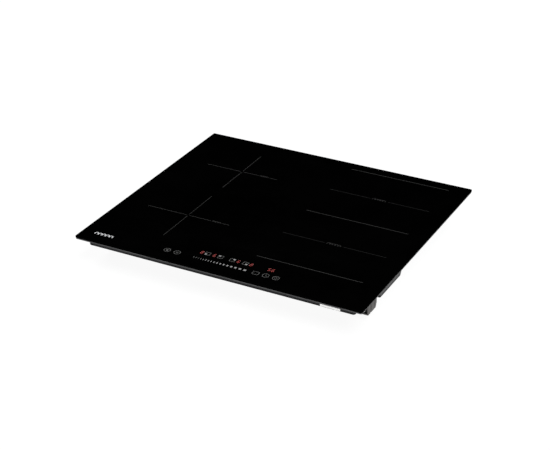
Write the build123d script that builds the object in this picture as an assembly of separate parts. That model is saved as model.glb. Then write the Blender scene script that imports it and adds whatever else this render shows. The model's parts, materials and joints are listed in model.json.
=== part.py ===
from build123d import *
import math
import os

# Built-in induction hob. Millimetres, +X right, +Y back, +Z up.
# The origin is on the underside, below the centre of the glass plate.

# Glass plate
GLASS_W = 590.0
GLASS_D = 520.0
GLASS_T = 4.0
GLASS_CORNER = 3.0
GLASS_BEVEL = 0.5
TOTAL_H = 52.0
GLASS_Z = TOTAL_H - GLASS_T

# Foam seal under the glass overhang
SEAL_INSET = 0.5
SEAL_W = 8.0
SEAL_T = 2.7
SEAL_CORNER = 3.0

# Upper frame: the shallow tray that the glass is bonded to
SHEET = 1.0
FRAME_W = 550.0
FRAME_FRONT = -245.0
FRAME_BACK = 241.0
FRAME_BOTTOM = 30.0
FRAME_TOP = GLASS_Z - 1.0
FRAME_CORNER = 5.0
FRAME_BEND = 2.0
FRAME_LIP = 12.0
BEAD_INSET = 3.0
BEAD_W = 6.0
BEAD_CORNER = 8.0
TRAY_OPENING_CORNER = 4.0

# Lower pan: the deep part below the frame
PAN_X = 250.0
PAN_FRONT = -170.0
PAN_BACK = 229.0
PAN_TOP = FRAME_BOTTOM
PAN_CORNER = 10.0
PAN_BEND = 3.0
PAN_FLANGE = 10.0
PAN_FLANGE_CORNER = 12.0
LEDGE = 6.0
LEDGE_CORNER = 6.0

# Screws that join the pan's flange to the frame's floor
FLANGE_SCREW_OUT = 5.0
FLANGE_SIDE_Y = (-8.0, 70.0, 140.0, 210.0)
FLANGE_FRONT_X = (-190.0, -65.0, 65.0, 190.0)
FLANGE_BACK_X = (-190.0, -65.0, 65.0, 155.0)
FLANGE_HOLE_R = 2.2
FRAME_HOLE_R = 2.0
CASE_SCREW_R = 1.9
CASE_HEAD_R = 3.6
CASE_HEAD_T = 2.2
CASE_CROSS = 4.0
CASE_CROSS_W = 0.9

# Openings and stiffening ribs of the pan
INTAKE_SLOTS = 11
INTAKE_PITCH = 6.5
INTAKE_SLOT = 3.0
INTAKE_R = 36.0
FRONT_VENTS = 24
FRONT_VENT_X = 168.0
SIDE_VENTS = 9
SIDE_VENT_FRONT = 16.0
SIDE_VENT_BACK = 20.0
VENT_W = 5.0
VENT_Z0 = 13.0
VENT_Z1 = 25.0
RIB_X = (-75.0, 0.0, 75.0)
RIB_Y = -40.0
RIB_LENGTH = 200.0
RIB_W = 8.0
RIB_H = 1.0
RIB_SHELL = 1.2
RIB_CLEAR = 6.0
RIB_END_CLEAR = 3.0

# Blank label in a shallow recess of the front wall, wrapped round its lower bend
LABEL_X0 = 208.0
LABEL_X1 = 247.0
LABEL_Z0 = 31.2
LABEL_Z1 = 35.4
LABEL_SINK = 0.1
LABEL_RECESS = 0.5
LABEL_GAP = 0.4
LABEL_REACH = 4.0

# Cooking zones: name, centre x, centre y, width, depth, corner radius.
# A corner radius of half the width makes a round zone.
ZONES = (
    ("front_left", -149.0, -92.0, 180.0, 180.0, 90.0),
    ("rear_left", -149.0, 120.0, 160.0, 160.0, 80.0),
    ("front_right", 149.5, -70.0, 206.0, 190.0, 45.0),
    ("rear_right", 149.5, 132.0, 206.0, 190.0, 45.0),
)
COIL_INSET = 5.0
COIL_EYE = 26.0
TURN_PITCH = 4.5
TURN_GROOVE = 1.2
TURN_DEPTH = 1.6
WINDING_Z0 = 43.5
WINDING_Z1 = 46.0
FORMER_Z0 = 40.0
FERRITE_Z0 = 35.2
MICA_Z0 = 46.6
MICA_T = 0.8
SENSOR_R = 5.0
SENSOR_EDGE_R = 1.0
SENSOR_GAP = 0.3
FERRITES = 8
FERRITE_W = 12.0
FERRITE_START = 24.0
FERRITE_END = 14.0
LEAD_R = 1.5
LEAD_GAP = 0.05
LEAD_BEND = 3.5
LEAD_HOLE_R = 4.0
LEAD_SPREAD = 6.0
LEAD_SHIFT = 36.0
LEAD_REACH = 7.5
LEAD_OUT = 9.0

# Aluminium plate that carries the coils
PLATE_X = 256.0
PLATE_FRONT = -185.0
PLATE_BACK = 232.0
PLATE_Z0 = 33.5
PLATE_T = 1.5
PLATE_CORNER = 6.0
PLATE_NOTCH = 15.0
CUSHION_R = 5.0
CUSHION_GAP = 0.1
CUSHION_SIDE_X = PAN_X - 0.5
CUSHION_SIDE_Y = (-110.0, -30.0, 104.0, 176.0)
CUSHION_FRONT_X = (-130.0, -35.0, 35.0, 130.0)
CUSHION_FRONT_Y = PLATE_FRONT + 9.0

# Fans
FAN_X = 120.0
FAN_Y = 170.0
FAN_SIZE = 80.0
FAN_Z0 = 2.0
FAN_Z1 = 22.0
FAN_DUCT_R = 37.5
BLADE_TIP_R = 36.3
HUB_R = 15.0
HUB_WALL = 1.5
STATOR_R = 13.0
FAN_SHAFT_R = 1.5
BLADES = 7
BLADE_TILT = 40.0
BLADE_CHORD = 16.0
BLADE_T = 1.2
FAN_SCREW_PITCH = 71.5
FAN_HOLE_R = 2.1
FAN_CORNER = 4.0
STRUT_ANGLES = (30, 150, 270)
STRUT_L = 27.0
STRUT_W = 4.0
STRUT_T = 1.8
STRUT_MID_R = 26.0
STATOR_TOP = 13.0
HUB_BOTTOM = 2.6
HUB_ROOF = 2.0

# Circuit boards
BOARD_T = 1.6
BOARD_Z0 = 6.0
BOARD_Z1 = BOARD_Z0 + BOARD_T
SHEET_Z1 = SHEET + 0.5
INVERTER_X0 = 30.0
INVERTER_X1 = 230.0
INVERTER_Y0 = -150.0
INVERTER_Y1 = 112.0
FILTER_X = 62.0
FILTER_Y0 = 122.0
FILTER_Y1 = 206.0
STANDOFF_R = 3.5
BOARD_HOLE_R = 1.8
SCREW_R = 1.7
SINK_X0 = 110.0
SINK_X1 = 172.0
SINK_Y0 = -120.0
SINK_Y1 = 100.0
SINK_Z0 = 12.6
SINK_BASE = 4.0
SINK_Z1 = 30.0
SINK_FINS = 9
FIN_T = 1.8
BOARD_CORNER = 2.0
BOARD_EDGE = 7.0
FILTER_EDGE = 5.0
HEADER_ROOT = 0.2

# Plug headers, as x0, x1, y0, y1 and height above the board
COIL_HEADER = (36.0, 46.0, 54.0, 80.0, 9.0)
CONTROL_HEADER = (36.0, 46.0, -128.0, -112.0, 9.0)
MAINS_HEADER = (34.0, 46.0, 192.0, 202.0, 12.9)
RIBBON_HEADER = (-12.0, 12.0, 124.0, 131.0, 8.0)

# Parts on the right inverter board
TRANSISTOR_X = (115.0, 131.0)
TRANSISTOR_Y = (-100.0, -72.0, 20.0, 48.0)
TRANSISTOR_D = 21.0
RECTIFIER = (140.0, 165.0, -30.0, -10.0)
CAPACITOR_X = (184.0, 216.0)
CAPACITOR_Y = (-130.0, -92.0, 12.0, 50.0)
CAPACITOR_D = 18.0
CAPACITOR_H = 19.0
BUS_CAPACITOR = (60.0, 92.0, -20.0, -2.0)
BUS_CAPACITOR_H = 20.0
CHOKE_X = 76.0
CHOKE_Y = 40.0
CHOKE_R = 16.0
CHOKE_EYE_R = 7.5
CHOKE_H = 14.0
CHOKE_EDGE_R = 3.0
DEVICE_CORNER = 1.0

# Parts on the filter board
FILTER_CHOKE = (6.0, 182.0)
FILTER_CAPACITOR_X = (-54.0, -28.0)
FILTER_CAPACITOR_Y = (160.0, 180.0)
FILTER_CAPACITOR_D = 16.0
FILTER_CAPACITOR_H = 18.0
RELAY = (20.0, 50.0, 128.0, 148.0)
RELAY_H = 16.0
TRANSFORMER = (-54.0, -24.0, 128.0, 152.0)
TRANSFORMER_H = 18.0
TRANSFORMER_CORNER = 2.0

# Sheet on the pan's floor
SHEET_X = 242.0
SHEET_EDGE = 8.0
SHEET_CORNER = 8.0
SHEET_RIB_CORNER = 4.0

# Mains inlet at the rear right
GLAND_X = 205.0
GLAND_Z = 15.0
CABLE_R = 5.5
GLAND_NECK_R = 8.0
GLAND_HEAD_R = 11.0
GLAND_OUT = 16.0
GLAND_IN = 8.0
GLAND_FLANGE_T = 3.0
GLAND_DOME_R = 10.0
GLAND_DOME_TAPER = 8.0
GLAND_NUT_T = 4.5
GLAND_HOLE_GAP = 0.2
SADDLE_X = 15.0
SADDLE_Y0 = 208.0
SADDLE_Y1 = 217.0
SADDLE_FOOT = 7.0
SADDLE_CLEAR = 6.5
SADDLE_T = 3.5
TERMINAL_X0 = 172.0
TERMINAL_X1 = 238.0
TERMINAL_Y0 = 168.0
TERMINAL_Y1 = 196.0
TERMINAL_MID = (TERMINAL_Y0 + TERMINAL_Y1) / 2
TERMINAL_Z1 = 22.0
TERMINAL_CORNER = 1.5
TERMINALS = 5
TERMINAL_FIRST = 181.0
TERMINAL_LAST = 229.0
PIT_R = 3.2
PIT_Z0 = 10.0
WIRE_HOLE = 5.6
WIRE_HOLE_Z0 = 9.0
WIRE_HOLE_Z1 = 15.0
TERMINAL_SCREW_R = 2.9
TERMINAL_SCREW_Z1 = 19.0
TERMINAL_SLOT_W = 0.9
TERMINAL_SLOT_T = 1.6

# Front clamps and their screws
CLAMP_X = 263.0
CLAMP_Y = -181.0
CLAMP_Z0 = 1.5
CLAMP_Z1 = 28.6
CLAMP_R = 10.8
CLAMP_OUT_X = 276.5
CLAMP_TAIL_Y = -155.0
CLAMP_SLANT = 5.0
CLAMP_SLANT_H = 11.0
CLAMP_WALL = 2.5
CLAMP_EDGE_R = 1.0
CLAMP_GROOVES = ((-180.0, 3.0, 1.8), (-164.0, 1.6, 0.8))
CLAMP_HEAD_ROOM = 4.5
CLAMP_SCREW_R = 2.5
CLAMP_HEAD_R = 4.5
CLAMP_HEAD_T = 3.4
CLAMP_BORE_R = 2.7
CLAMP_COUNTER_R = 5.6
CLAMP_SCREW_TOP = 45.0
CLAMP_SLOT_IN = 2.2
CLAMP_SLOT_WALL = 2.0
CLAMP_SLOT_SILL = 1.5
CLAMP_SLOT_BACK = 1.0
CLAMP_HOLE_R = 3.2
CLAMP_NOTCH_X = 5.1
CLAMP_NOTCH_BACK = 12.0
CROSS_L = 5.0
CROSS_W = 1.2
CROSS_DEPTH = 1.8
NUT_W = 11.0
NUT_T = 4.5
NUT_CORNER = 0.8
RUNNING_GAP = 0.1

# Side air outlets
OUTLET_X1 = 276.5
OUTLET_Y0 = -141.0
OUTLET_Y1 = -39.0
OUTLET_Z0 = 11.0
OUTLET_Z1 = 28.8
OUTLET_WALL = 1.6
OUTLET_SLANT = 12.0
OUTLET_GAP = 0.2
OUTLET_EDGE_R = 2.0
OUTLET_FOOT = 1.2
OUTLET_FOOT_END = 6.0
HOOK_W = 10.0
HOOK_T = 1.6
HOOK_Z0 = 20.0
HOOK_GAP = 0.4
HOOK_REACH = 3.0
HOOK_BARB = 1.7
HOOK_DROP = 2.5
HOOK_FRONT = 7.0
HOOK_BACK = 18.0

# Rear spacers
SPACER_Y0 = 163.0
SPACER_Y1 = 186.0
SPACER_Z0 = 17.0
SPACER_Z1 = 28.8
SPACER_MID = (SPACER_Y0 + SPACER_Y1) / 2
SPACER_WALL = 1.8
SPACER_EDGE_R = 3.0
SPACER_POST = 5.2
SPACER_SCREW_Z = 23.0
SPACER_POCKET_R = 3.9
SPACER_POCKET_X = 3.0
SPACER_BORE_R = 2.1
SPACER_SCREW_R = 1.8
SPACER_THREAD_R = 1.9

# Touch control below the front of the glass
CONTROL_X = 130.0
CONTROL_Y0 = -241.0
CONTROL_Y1 = -191.0
CARRIER_Z0 = FRAME_BOTTOM + SHEET + 0.1
CARRIER_WALL = 1.6
CARRIER_Z1 = 44.0
CONTROL_BOARD_Z0 = 37.0
CONTROL_BOARD_Z1 = CONTROL_BOARD_Z0 + BOARD_T
KEY_Y = -227.0
ZONE_ROW_Y = -205.5
KEYS_X = (-112.5, -91.7, 71.7, 91.7, 112.2)
ZONE_KEYS_X = (-39.3, -12.3, 12.3, 39.3)
ZONE_DIGITS_X = (-51.0, -25.0, 25.0, 51.0)
TIMER_X = 91.7
DIGIT_W = 7.5
DIGIT_D = 12.0
SLIDER_X = 57.0
KEY_R = 6.0
ZONE_KEY_R = 4.5
PAD_TOP = GLASS_Z - 0.2
CARRIER_CORNER = 3.0
CARRIER_BOSS_R = 3.2
CARRIER_BOSS_HOLE_R = 1.3
CARRIER_GATE_X = 14.0
CONTROL_SCREW_X = 122.0
CONTROL_MIDDLE_X = 30.0
CONTROL_SCREW_Y = (CONTROL_Y0 + 6.5, CONTROL_Y1 - 7.0)
GUIDE_HALF_D = 4.0
GUIDE_CELLS = 9
GUIDE_CELL = 5.0
GUIDE_ROOF = 2.0
RIBBON_W = 18.0
RIBBON_T = 1.0
RIBBON_BEND = 3.0
MAINS_LEADS_Z = (10.0, 14.0, 18.0)
MAINS_LEAD_R = 1.5
MAINS_LEAD_BEND = 5.0

SIDES = (("right", 1), ("left", -1))


# Helpers


def block(x0, x1, y0, y1, z0, z1, corner=0.0):
    """Block between two corners, with rounded upright edges."""
    size = Box(abs(x1 - x0), abs(y1 - y0), z1 - z0)
    placed = Pos((x0 + x1) / 2, (y0 + y1) / 2, (z0 + z1) / 2) * size
    if corner > 0:
        placed = fillet(placed.edges().filter_by(Axis.Z), corner)
    return placed


def post(x, y, radius, z0, z1):
    """Upright round post."""
    return Pos(x, y, (z0 + z1) / 2) * Cylinder(radius, z1 - z0)


def bar_x(y, z, radius, x0, x1):
    """Round bar along X."""
    return Pos((x0 + x1) / 2, y, z) * Rot(0, 90, 0) * Cylinder(radius, abs(x1 - x0))


def bar_y(x, z, radius, y0, y1):
    """Round bar along Y."""
    return Pos(x, (y0 + y1) / 2, z) * Rot(90, 0, 0) * Cylinder(radius, y1 - y0)


def soft_block(x0, x1, y0, y1, z0, z1, corner, bend):
    """Block with rounded upright edges and a rounded lower edge."""
    body = block(x0, x1, y0, y1, z0, z1, corner)
    return fillet(body.edges().group_by(Axis.Z)[0], bend)


def flip(shape, side):
    """The shape itself for the right side, or its mirror image for the left."""
    return shape if side > 0 else mirror(shape, about=Plane.YZ)


def spread(first, last, count):
    """Evenly spaced values from first to last."""
    return [first + (last - first) * i / (count - 1) for i in range(count)]


def save(name, *shapes):
    """Write the solids of one sub-part to its own file."""
    solids = [solid for shape in shapes for solid in shape.solids()]
    whole = solids[0] if len(solids) == 1 else Compound(solids)
    export_step(whole, os.path.join("parts", name + ".step"))


def zone_outline(zone, inset):
    """Flat outline of a zone, drawn in by inset: a circle or a rounded rectangle."""
    name, x, y, width, depth, corner = zone
    if corner >= width / 2:
        return Circle(width / 2 - inset)
    radius = max(corner - inset, 6.0)
    return RectangleRounded(width - 2 * inset, depth - 2 * inset, radius)


def zone_disc(zone, inset, z0, z1):
    """Flat disc of a zone's outline between two heights."""
    name, x, y, width, depth, corner = zone
    return Pos(x, y, z0) * extrude(zone_outline(zone, inset), z1 - z0)


def zone_ring(zone, outer_inset, inner_inset, z0, z1):
    """Ring between two insets of a zone's outline."""
    lip = 1.0
    outer = zone_disc(zone, outer_inset, z0, z1)
    return outer - zone_disc(zone, inner_inset, z0 - lip, z1 + lip)


# Glass, seal and bead


def glass_plate():
    half_w = GLASS_W / 2
    half_d = GLASS_D / 2
    plate = block(-half_w, half_w, -half_d, half_d, GLASS_Z, TOTAL_H, GLASS_CORNER)
    rims = plate.edges().group_by(Axis.Z)
    return chamfer(rims[-1] + rims[0], GLASS_BEVEL)


def rim_ring(outer_x, outer_y, width, z0, z1, corner):
    """Flat rectangular ring around the centre."""
    outer = block(-outer_x, outer_x, -outer_y, outer_y, z0, z1, corner)
    inner_corner = max(corner - width, 1.0)
    x = outer_x - width
    y = outer_y - width
    return outer - block(-x, x, -y, y, z0 - 1, z1 + 1, inner_corner)


def glass_seal():
    x = GLASS_W / 2 - SEAL_INSET
    y = GLASS_D / 2 - SEAL_INSET
    return rim_ring(x, y, SEAL_W, GLASS_Z - SEAL_T, GLASS_Z, SEAL_CORNER)


def adhesive_bead():
    x = FRAME_W / 2 - BEAD_INSET
    y = (FRAME_BACK - FRAME_FRONT) / 2 - BEAD_INSET
    centre_y = (FRAME_BACK + FRAME_FRONT) / 2
    return Pos(0, centre_y, 0) * rim_ring(x, y, BEAD_W, FRAME_TOP, GLASS_Z, BEAD_CORNER)


# Frame and pan

FLANGE_SCREWS = (
    [(side * (PAN_X + FLANGE_SCREW_OUT), y) for side in (1, -1) for y in FLANGE_SIDE_Y]
    + [(x, PAN_FRONT - FLANGE_SCREW_OUT) for x in FLANGE_FRONT_X]
    + [(x, PAN_BACK + FLANGE_SCREW_OUT) for x in FLANGE_BACK_X]
)

def clamp_places():
    """Axis of the right clamp screw, then of the left one."""
    return [(side * CLAMP_X, CLAMP_Y) for name, side in SIDES]


def frame_form(inset, top):
    """Solid form of the frame, drawn in by inset on its sides and floor."""
    x = FRAME_W / 2 - inset
    return soft_block(
        -x,
        x,
        FRAME_FRONT + inset,
        FRAME_BACK - inset,
        FRAME_BOTTOM + inset,
        top,
        FRAME_CORNER - inset,
        FRAME_BEND - inset,
    )


def label_band(gap, outer_inset, inner_inset):
    """Skin of the frame's front between two depths, over the label and a gap around it."""
    window = block(
        LABEL_X0 - gap,
        LABEL_X1 + gap,
        FRAME_FRONT - LABEL_REACH,
        FRAME_FRONT + LABEL_REACH,
        LABEL_Z0 - gap,
        LABEL_Z1 + gap,
    )
    above = FRAME_TOP + LABEL_REACH
    return (window & frame_form(outer_inset, above)) - frame_form(inner_inset, above)


def upper_frame():
    x = FRAME_W / 2
    front = FRAME_FRONT
    back = FRAME_BACK
    floor = FRAME_BOTTOM + SHEET
    tray = frame_form(0.0, FRAME_TOP) - frame_form(SHEET, FRAME_TOP - SHEET)
    lip = FRAME_LIP
    top = FRAME_TOP + 1
    tray -= block(-x + lip, x - lip, front + lip, back - lip, floor, top, TRAY_OPENING_CORNER)
    hole_x = PAN_X - LEDGE
    hole_front = PAN_FRONT + LEDGE
    hole_back = PAN_BACK - LEDGE
    below = FRAME_BOTTOM - 1
    tray -= block(-hole_x, hole_x, hole_front, hole_back, below, floor + 1, LEDGE_CORNER)
    for sx, sy in FLANGE_SCREWS:
        tray -= post(sx, sy, FRAME_HOLE_R, below, floor + 1)
    for sx, sy in clamp_places():
        tray -= post(sx, sy, CLAMP_HOLE_R, below, floor + 1)
    return tray - label_band(LABEL_GAP, 0.0, LABEL_RECESS)


def blank_label():
    return label_band(0.0, LABEL_SINK, LABEL_RECESS)


def intake_slots(side):
    """Inlet slots of one fan, cut to the outline of a circle."""
    slots = []
    span = INTAKE_PITCH * (INTAKE_SLOTS - 1) / 2
    for offset in spread(-span, span, INTAKE_SLOTS):
        half = math.sqrt(INTAKE_R**2 - offset**2)
        slot = extrude(SlotOverall(2 * half, INTAKE_SLOT), 4.0)
        slots.append(Pos(side * FAN_X, FAN_Y + offset, -1.0) * slot)
    return slots


def side_vents(side):
    """Openings in the side wall that lead into an air outlet."""
    y0 = OUTLET_Y0 + SIDE_VENT_FRONT
    y1 = OUTLET_Y1 - SIDE_VENT_BACK
    x0 = side * (PAN_X - 2.0)
    x1 = side * (PAN_X + 2.0)
    return [
        block(x0, x1, y - VENT_W / 2, y + VENT_W / 2, VENT_Z0, VENT_Z1)
        for y in spread(y0, y1, SIDE_VENTS)
    ]


def hook_places():
    """Places along Y of an air outlet's two hooks."""
    return (OUTLET_Y0 + HOOK_FRONT, OUTLET_Y1 - HOOK_BACK)


def pan_shell():
    """Folded pan with its flange, still without openings."""
    shell = soft_block(
        -PAN_X, PAN_X, PAN_FRONT, PAN_BACK, 0, PAN_TOP - SHEET / 2, PAN_CORNER, PAN_BEND
    )
    shell += block(
        -PAN_X - PAN_FLANGE,
        PAN_X + PAN_FLANGE,
        PAN_FRONT - PAN_FLANGE,
        PAN_BACK + PAN_FLANGE,
        PAN_TOP - SHEET,
        PAN_TOP,
        PAN_FLANGE_CORNER,
    )
    return shell - soft_block(
        -PAN_X + SHEET,
        PAN_X - SHEET,
        PAN_FRONT + SHEET,
        PAN_BACK - SHEET,
        SHEET,
        PAN_TOP + 1,
        PAN_CORNER - SHEET,
        PAN_BEND - SHEET,
    )


def rib(x):
    """A stiffening rib pressed up into the pan's floor: what it adds, then what it removes."""
    place = Pos(x, RIB_Y, 0) * Rot(0, 0, 90)
    bump = extrude(SlotOverall(RIB_LENGTH, RIB_W), RIB_H)
    shell = 2 * RIB_SHELL
    hollow = extrude(SlotOverall(RIB_LENGTH - shell, RIB_W - shell), RIB_H)
    return place * Pos(0, 0, SHEET) * bump, place * hollow


def hook_slot(side, y):
    """Slot in the pan's side wall that one hook of an air outlet enters."""
    half = HOOK_W / 2 + HOOK_GAP
    return block(
        side * (PAN_X - 2),
        side * (PAN_X + 2),
        y - half,
        y + half,
        HOOK_Z0 - HOOK_GAP,
        HOOK_Z0 + HOOK_T + HOOK_GAP,
    )


def front_vents():
    half = VENT_W / 2
    return [
        block(x - half, x + half, PAN_FRONT - 2, PAN_FRONT + 2, VENT_Z0, VENT_Z1)
        for x in spread(-FRONT_VENT_X, FRONT_VENT_X, FRONT_VENTS)
    ]


def clamp_notch(x, y):
    """Notch in the pan's flange around a clamp screw."""
    return block(
        x - CLAMP_NOTCH_X,
        x + CLAMP_NOTCH_X,
        y - CLAMP_HOLE_R,
        y + CLAMP_NOTCH_BACK,
        PAN_TOP - 2,
        PAN_TOP + 1,
    )


def lower_pan():
    pan = pan_shell()
    for rib_x in RIB_X:
        bump, hollow = rib(rib_x)
        pan = pan + bump - hollow
    for sx, sy in FLANGE_SCREWS:
        pan -= post(sx, sy, FLANGE_HOLE_R, PAN_TOP - 2, PAN_TOP + 1)
    for sx, sy in clamp_places():
        pan -= clamp_notch(sx, sy)
    for name, side in SIDES:
        hooks = [hook_slot(side, y) for y in hook_places()]
        for cutter in intake_slots(side) + side_vents(side) + hooks:
            pan -= cutter
        x = side * PAN_X
        pan -= bar_x(SPACER_MID, SPACER_SCREW_Z, SPACER_THREAD_R, x - 2, x + 2)
    for cutter in front_vents():
        pan -= cutter
    gland_hole_r = GLAND_NECK_R + GLAND_HOLE_GAP
    pan -= bar_y(GLAND_X, GLAND_Z, gland_hole_r, PAN_BACK - 3, PAN_BACK + 3)
    for x, y in FAN_SCREW_PLACES:
        pan -= post(x, y, BOARD_HOLE_R, -1, 3)
    return pan


FAN_SCREW_PLACES = [
    (side * FAN_X + dx, FAN_Y + dy)
    for name, side in SIDES
    for dx in (-FAN_SCREW_PITCH / 2, FAN_SCREW_PITCH / 2)
    for dy in (-FAN_SCREW_PITCH / 2, FAN_SCREW_PITCH / 2)
]


# Clamps, outlets, spacers


def clamp():
    """Right clamp: a moulded jaw, round where it faces inwards, with an open slot in its front."""
    x_in = CLAMP_X - CLAMP_R
    x_out = CLAMP_OUT_X
    front = CLAMP_Y - CLAMP_R
    tail = CLAMP_TAIL_Y
    below = CLAMP_Z0 - 1
    above = CLAMP_Z1 + 1
    body = post(CLAMP_X, CLAMP_Y, CLAMP_R, CLAMP_Z0, CLAMP_Z1)
    body += block(x_in, x_out, CLAMP_Y, tail, CLAMP_Z0, CLAMP_Z1)
    body += block(CLAMP_X, x_out, front, tail, CLAMP_Z0, CLAMP_Z1)
    body = fillet(body.edges().filter_by(Axis.Z).sort_by(Axis.X)[-2:], CLAMP_EDGE_R)
    slant = Plane.YZ * make_face(
        Polyline(
            (tail + 1, CLAMP_Z0 + CLAMP_SLANT_H),
            (tail, CLAMP_Z0 + CLAMP_SLANT_H),
            (tail - CLAMP_SLANT, below),
            (tail + 1, below),
            close=True,
        )
    )
    body -= Pos(x_in - 1, 0, 0) * extrude(slant, x_out - x_in + 2)
    for y, width, depth in CLAMP_GROOVES:
        body -= block(x_out - depth, x_out + 1, y - width / 2, y + width / 2, below, above)
    body -= block(
        CLAMP_X + CLAMP_SLOT_IN,
        x_out - CLAMP_SLOT_WALL,
        front - 1,
        CLAMP_Y - CLAMP_BORE_R - CLAMP_SLOT_BACK,
        CLAMP_Z0 + CLAMP_SLOT_SILL,
        above,
    )
    body -= block(
        x_in + CLAMP_WALL,
        x_out - 2 * CLAMP_WALL,
        CLAMP_Y + CLAMP_R + CLAMP_WALL,
        tail - CLAMP_SLANT - CLAMP_WALL,
        below,
        CLAMP_Z1 - CLAMP_WALL,
        CLAMP_EDGE_R,
    )
    body -= post(CLAMP_X, CLAMP_Y, CLAMP_BORE_R, below, above)
    return body - post(CLAMP_X, CLAMP_Y, CLAMP_COUNTER_R, below, CLAMP_Z0 + CLAMP_HEAD_ROOM)


def clamp_screw():
    """Right clamp screw: a wide head below, a long shank up through the frame."""
    head_top = CLAMP_Z0 + CLAMP_HEAD_ROOM - RUNNING_GAP
    head_bottom = head_top - CLAMP_HEAD_T
    screw = post(CLAMP_X, CLAMP_Y, CLAMP_HEAD_R, head_bottom, head_top)
    screw += post(CLAMP_X, CLAMP_Y, CLAMP_SCREW_R, head_bottom + 1, CLAMP_SCREW_TOP)
    cross = Box(CROSS_L, CROSS_W, 2 * CROSS_DEPTH) + Box(CROSS_W, CROSS_L, 2 * CROSS_DEPTH)
    return screw - Pos(CLAMP_X, CLAMP_Y, head_bottom) * cross


def clamp_nuts():
    """Square nuts held on the frame's floor, one for each clamp screw."""
    z0 = FRAME_BOTTOM + SHEET + RUNNING_GAP
    half = NUT_W / 2
    nuts = []
    for x, y in clamp_places():
        nut = block(x - half, x + half, y - half, y + half, z0, z0 + NUT_T, NUT_CORNER)
        nuts.append(nut - post(x, y, CLAMP_SCREW_R + RUNNING_GAP, z0 - 1, z0 + NUT_T + 1))
    return nuts


def yz_face(*points):
    """Flat face in the YZ plane."""
    return Plane.YZ * make_face(Polyline(*points, close=True))


def outlet_hook(y):
    """One hook of the right outlet: a tongue through the pan's wall, with a barb and a web."""
    y0 = y - HOOK_W / 2
    y1 = y + HOOK_W / 2
    tip = PAN_X - HOOK_REACH
    root = PAN_X + HOOK_REACH
    hook = block(tip, root, y0, y1, HOOK_Z0, HOOK_Z0 + HOOK_T)
    hook += block(tip, tip + HOOK_BARB, y0, y1, HOOK_Z0 - HOOK_DROP, HOOK_Z0 + HOOK_T)
    return hook + block(PAN_X + OUTLET_GAP, root, y0, y1, HOOK_Z0, OUTLET_Z1 - 1.0)


def side_outlet():
    """Right air outlet: a channel that is open below and towards the pan."""
    wall = OUTLET_WALL
    inner_x = OUTLET_X1 - wall
    rear_low = OUTLET_Y1 - OUTLET_SLANT
    side_view = yz_face(
        (OUTLET_Y0, OUTLET_Z0),
        (rear_low, OUTLET_Z0),
        (OUTLET_Y1, OUTLET_Z1),
        (OUTLET_Y0, OUTLET_Z1),
    )
    hollow_view = yz_face(
        (OUTLET_Y0 + wall, OUTLET_Z0 - 5),
        (rear_low - 3.6 * wall, OUTLET_Z0 - 5),
        (OUTLET_Y1 - 3 * wall, OUTLET_Z1 - wall),
        (OUTLET_Y0 + wall, OUTLET_Z1 - wall),
    )
    start = PAN_X + OUTLET_GAP
    shell = Pos(start, 0, 0) * extrude(side_view, OUTLET_X1 - start)
    shell = fillet(shell.edges().filter_by(Axis.Z).sort_by(Axis.X)[-1:], OUTLET_EDGE_R)
    shell -= Pos(PAN_X - 1, 0, 0) * extrude(hollow_view, inner_x - PAN_X + 1)
    shell += block(
        inner_x - OUTLET_FOOT,
        inner_x + wall / 2,
        OUTLET_Y0 + wall,
        rear_low - OUTLET_FOOT_END,
        OUTLET_Z0,
        OUTLET_Z0 + OUTLET_FOOT,
    )
    for hook_y in hook_places():
        shell += outlet_hook(hook_y)
    return shell


def rear_spacer():
    """Right rear spacer: a hollow moulded block with a screw in its middle."""
    x0 = PAN_X + OUTLET_GAP
    x1 = OUTLET_X1
    body = block(x0, x1, SPACER_Y0, SPACER_Y1, SPACER_Z0, SPACER_Z1)
    body = fillet(body.edges().filter_by(Axis.Y).sort_by(Axis.X)[-2:], SPACER_EDGE_R)
    wall = SPACER_WALL
    front_cell = (SPACER_Y0 + wall, SPACER_MID - SPACER_POST)
    rear_cell = (SPACER_MID + SPACER_POST, SPACER_Y1 - wall)
    for y0, y1 in (front_cell, rear_cell):
        body -= block(x0 - 1, x1 - wall, y0, y1, SPACER_Z0 - 1, SPACER_Z1 - wall)
    pocket_x = x0 + SPACER_POCKET_X
    body -= bar_x(SPACER_MID, SPACER_SCREW_Z, SPACER_POCKET_R, pocket_x, x1 + 1)
    return body - bar_x(SPACER_MID, SPACER_SCREW_Z, SPACER_BORE_R, x0 - 1, x1)


def flange_screw(x, y):
    """Screw up through the pan's flange, with a cross in its head."""
    head_z0 = PAN_TOP - SHEET - CASE_HEAD_T
    head = post(x, y, CASE_HEAD_R, head_z0, PAN_TOP - SHEET)
    cross = Box(CASE_CROSS, CASE_CROSS_W, 2) + Box(CASE_CROSS_W, CASE_CROSS, 2)
    head -= Pos(x, y, head_z0) * cross
    return head + post(x, y, CASE_SCREW_R, PAN_TOP - SHEET - 0.5, PAN_TOP + 3)


def spacer_screw():
    """Screw of the right rear spacer."""
    head_x = PAN_X + OUTLET_GAP + SPACER_POCKET_X
    head = bar_x(SPACER_MID, SPACER_SCREW_Z, CASE_HEAD_R, head_x, head_x + 2.4)
    return head + bar_x(SPACER_MID, SPACER_SCREW_Z, SPACER_SCREW_R, PAN_X - 5, head_x + 1)


def case_screws():
    """Screws through the pan's flange, and one through each rear spacer."""
    screws = [flange_screw(x, y) for x, y in FLANGE_SCREWS]
    return screws + [flip(spacer_screw(), side) for name, side in SIDES]


# Mains inlet


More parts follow.
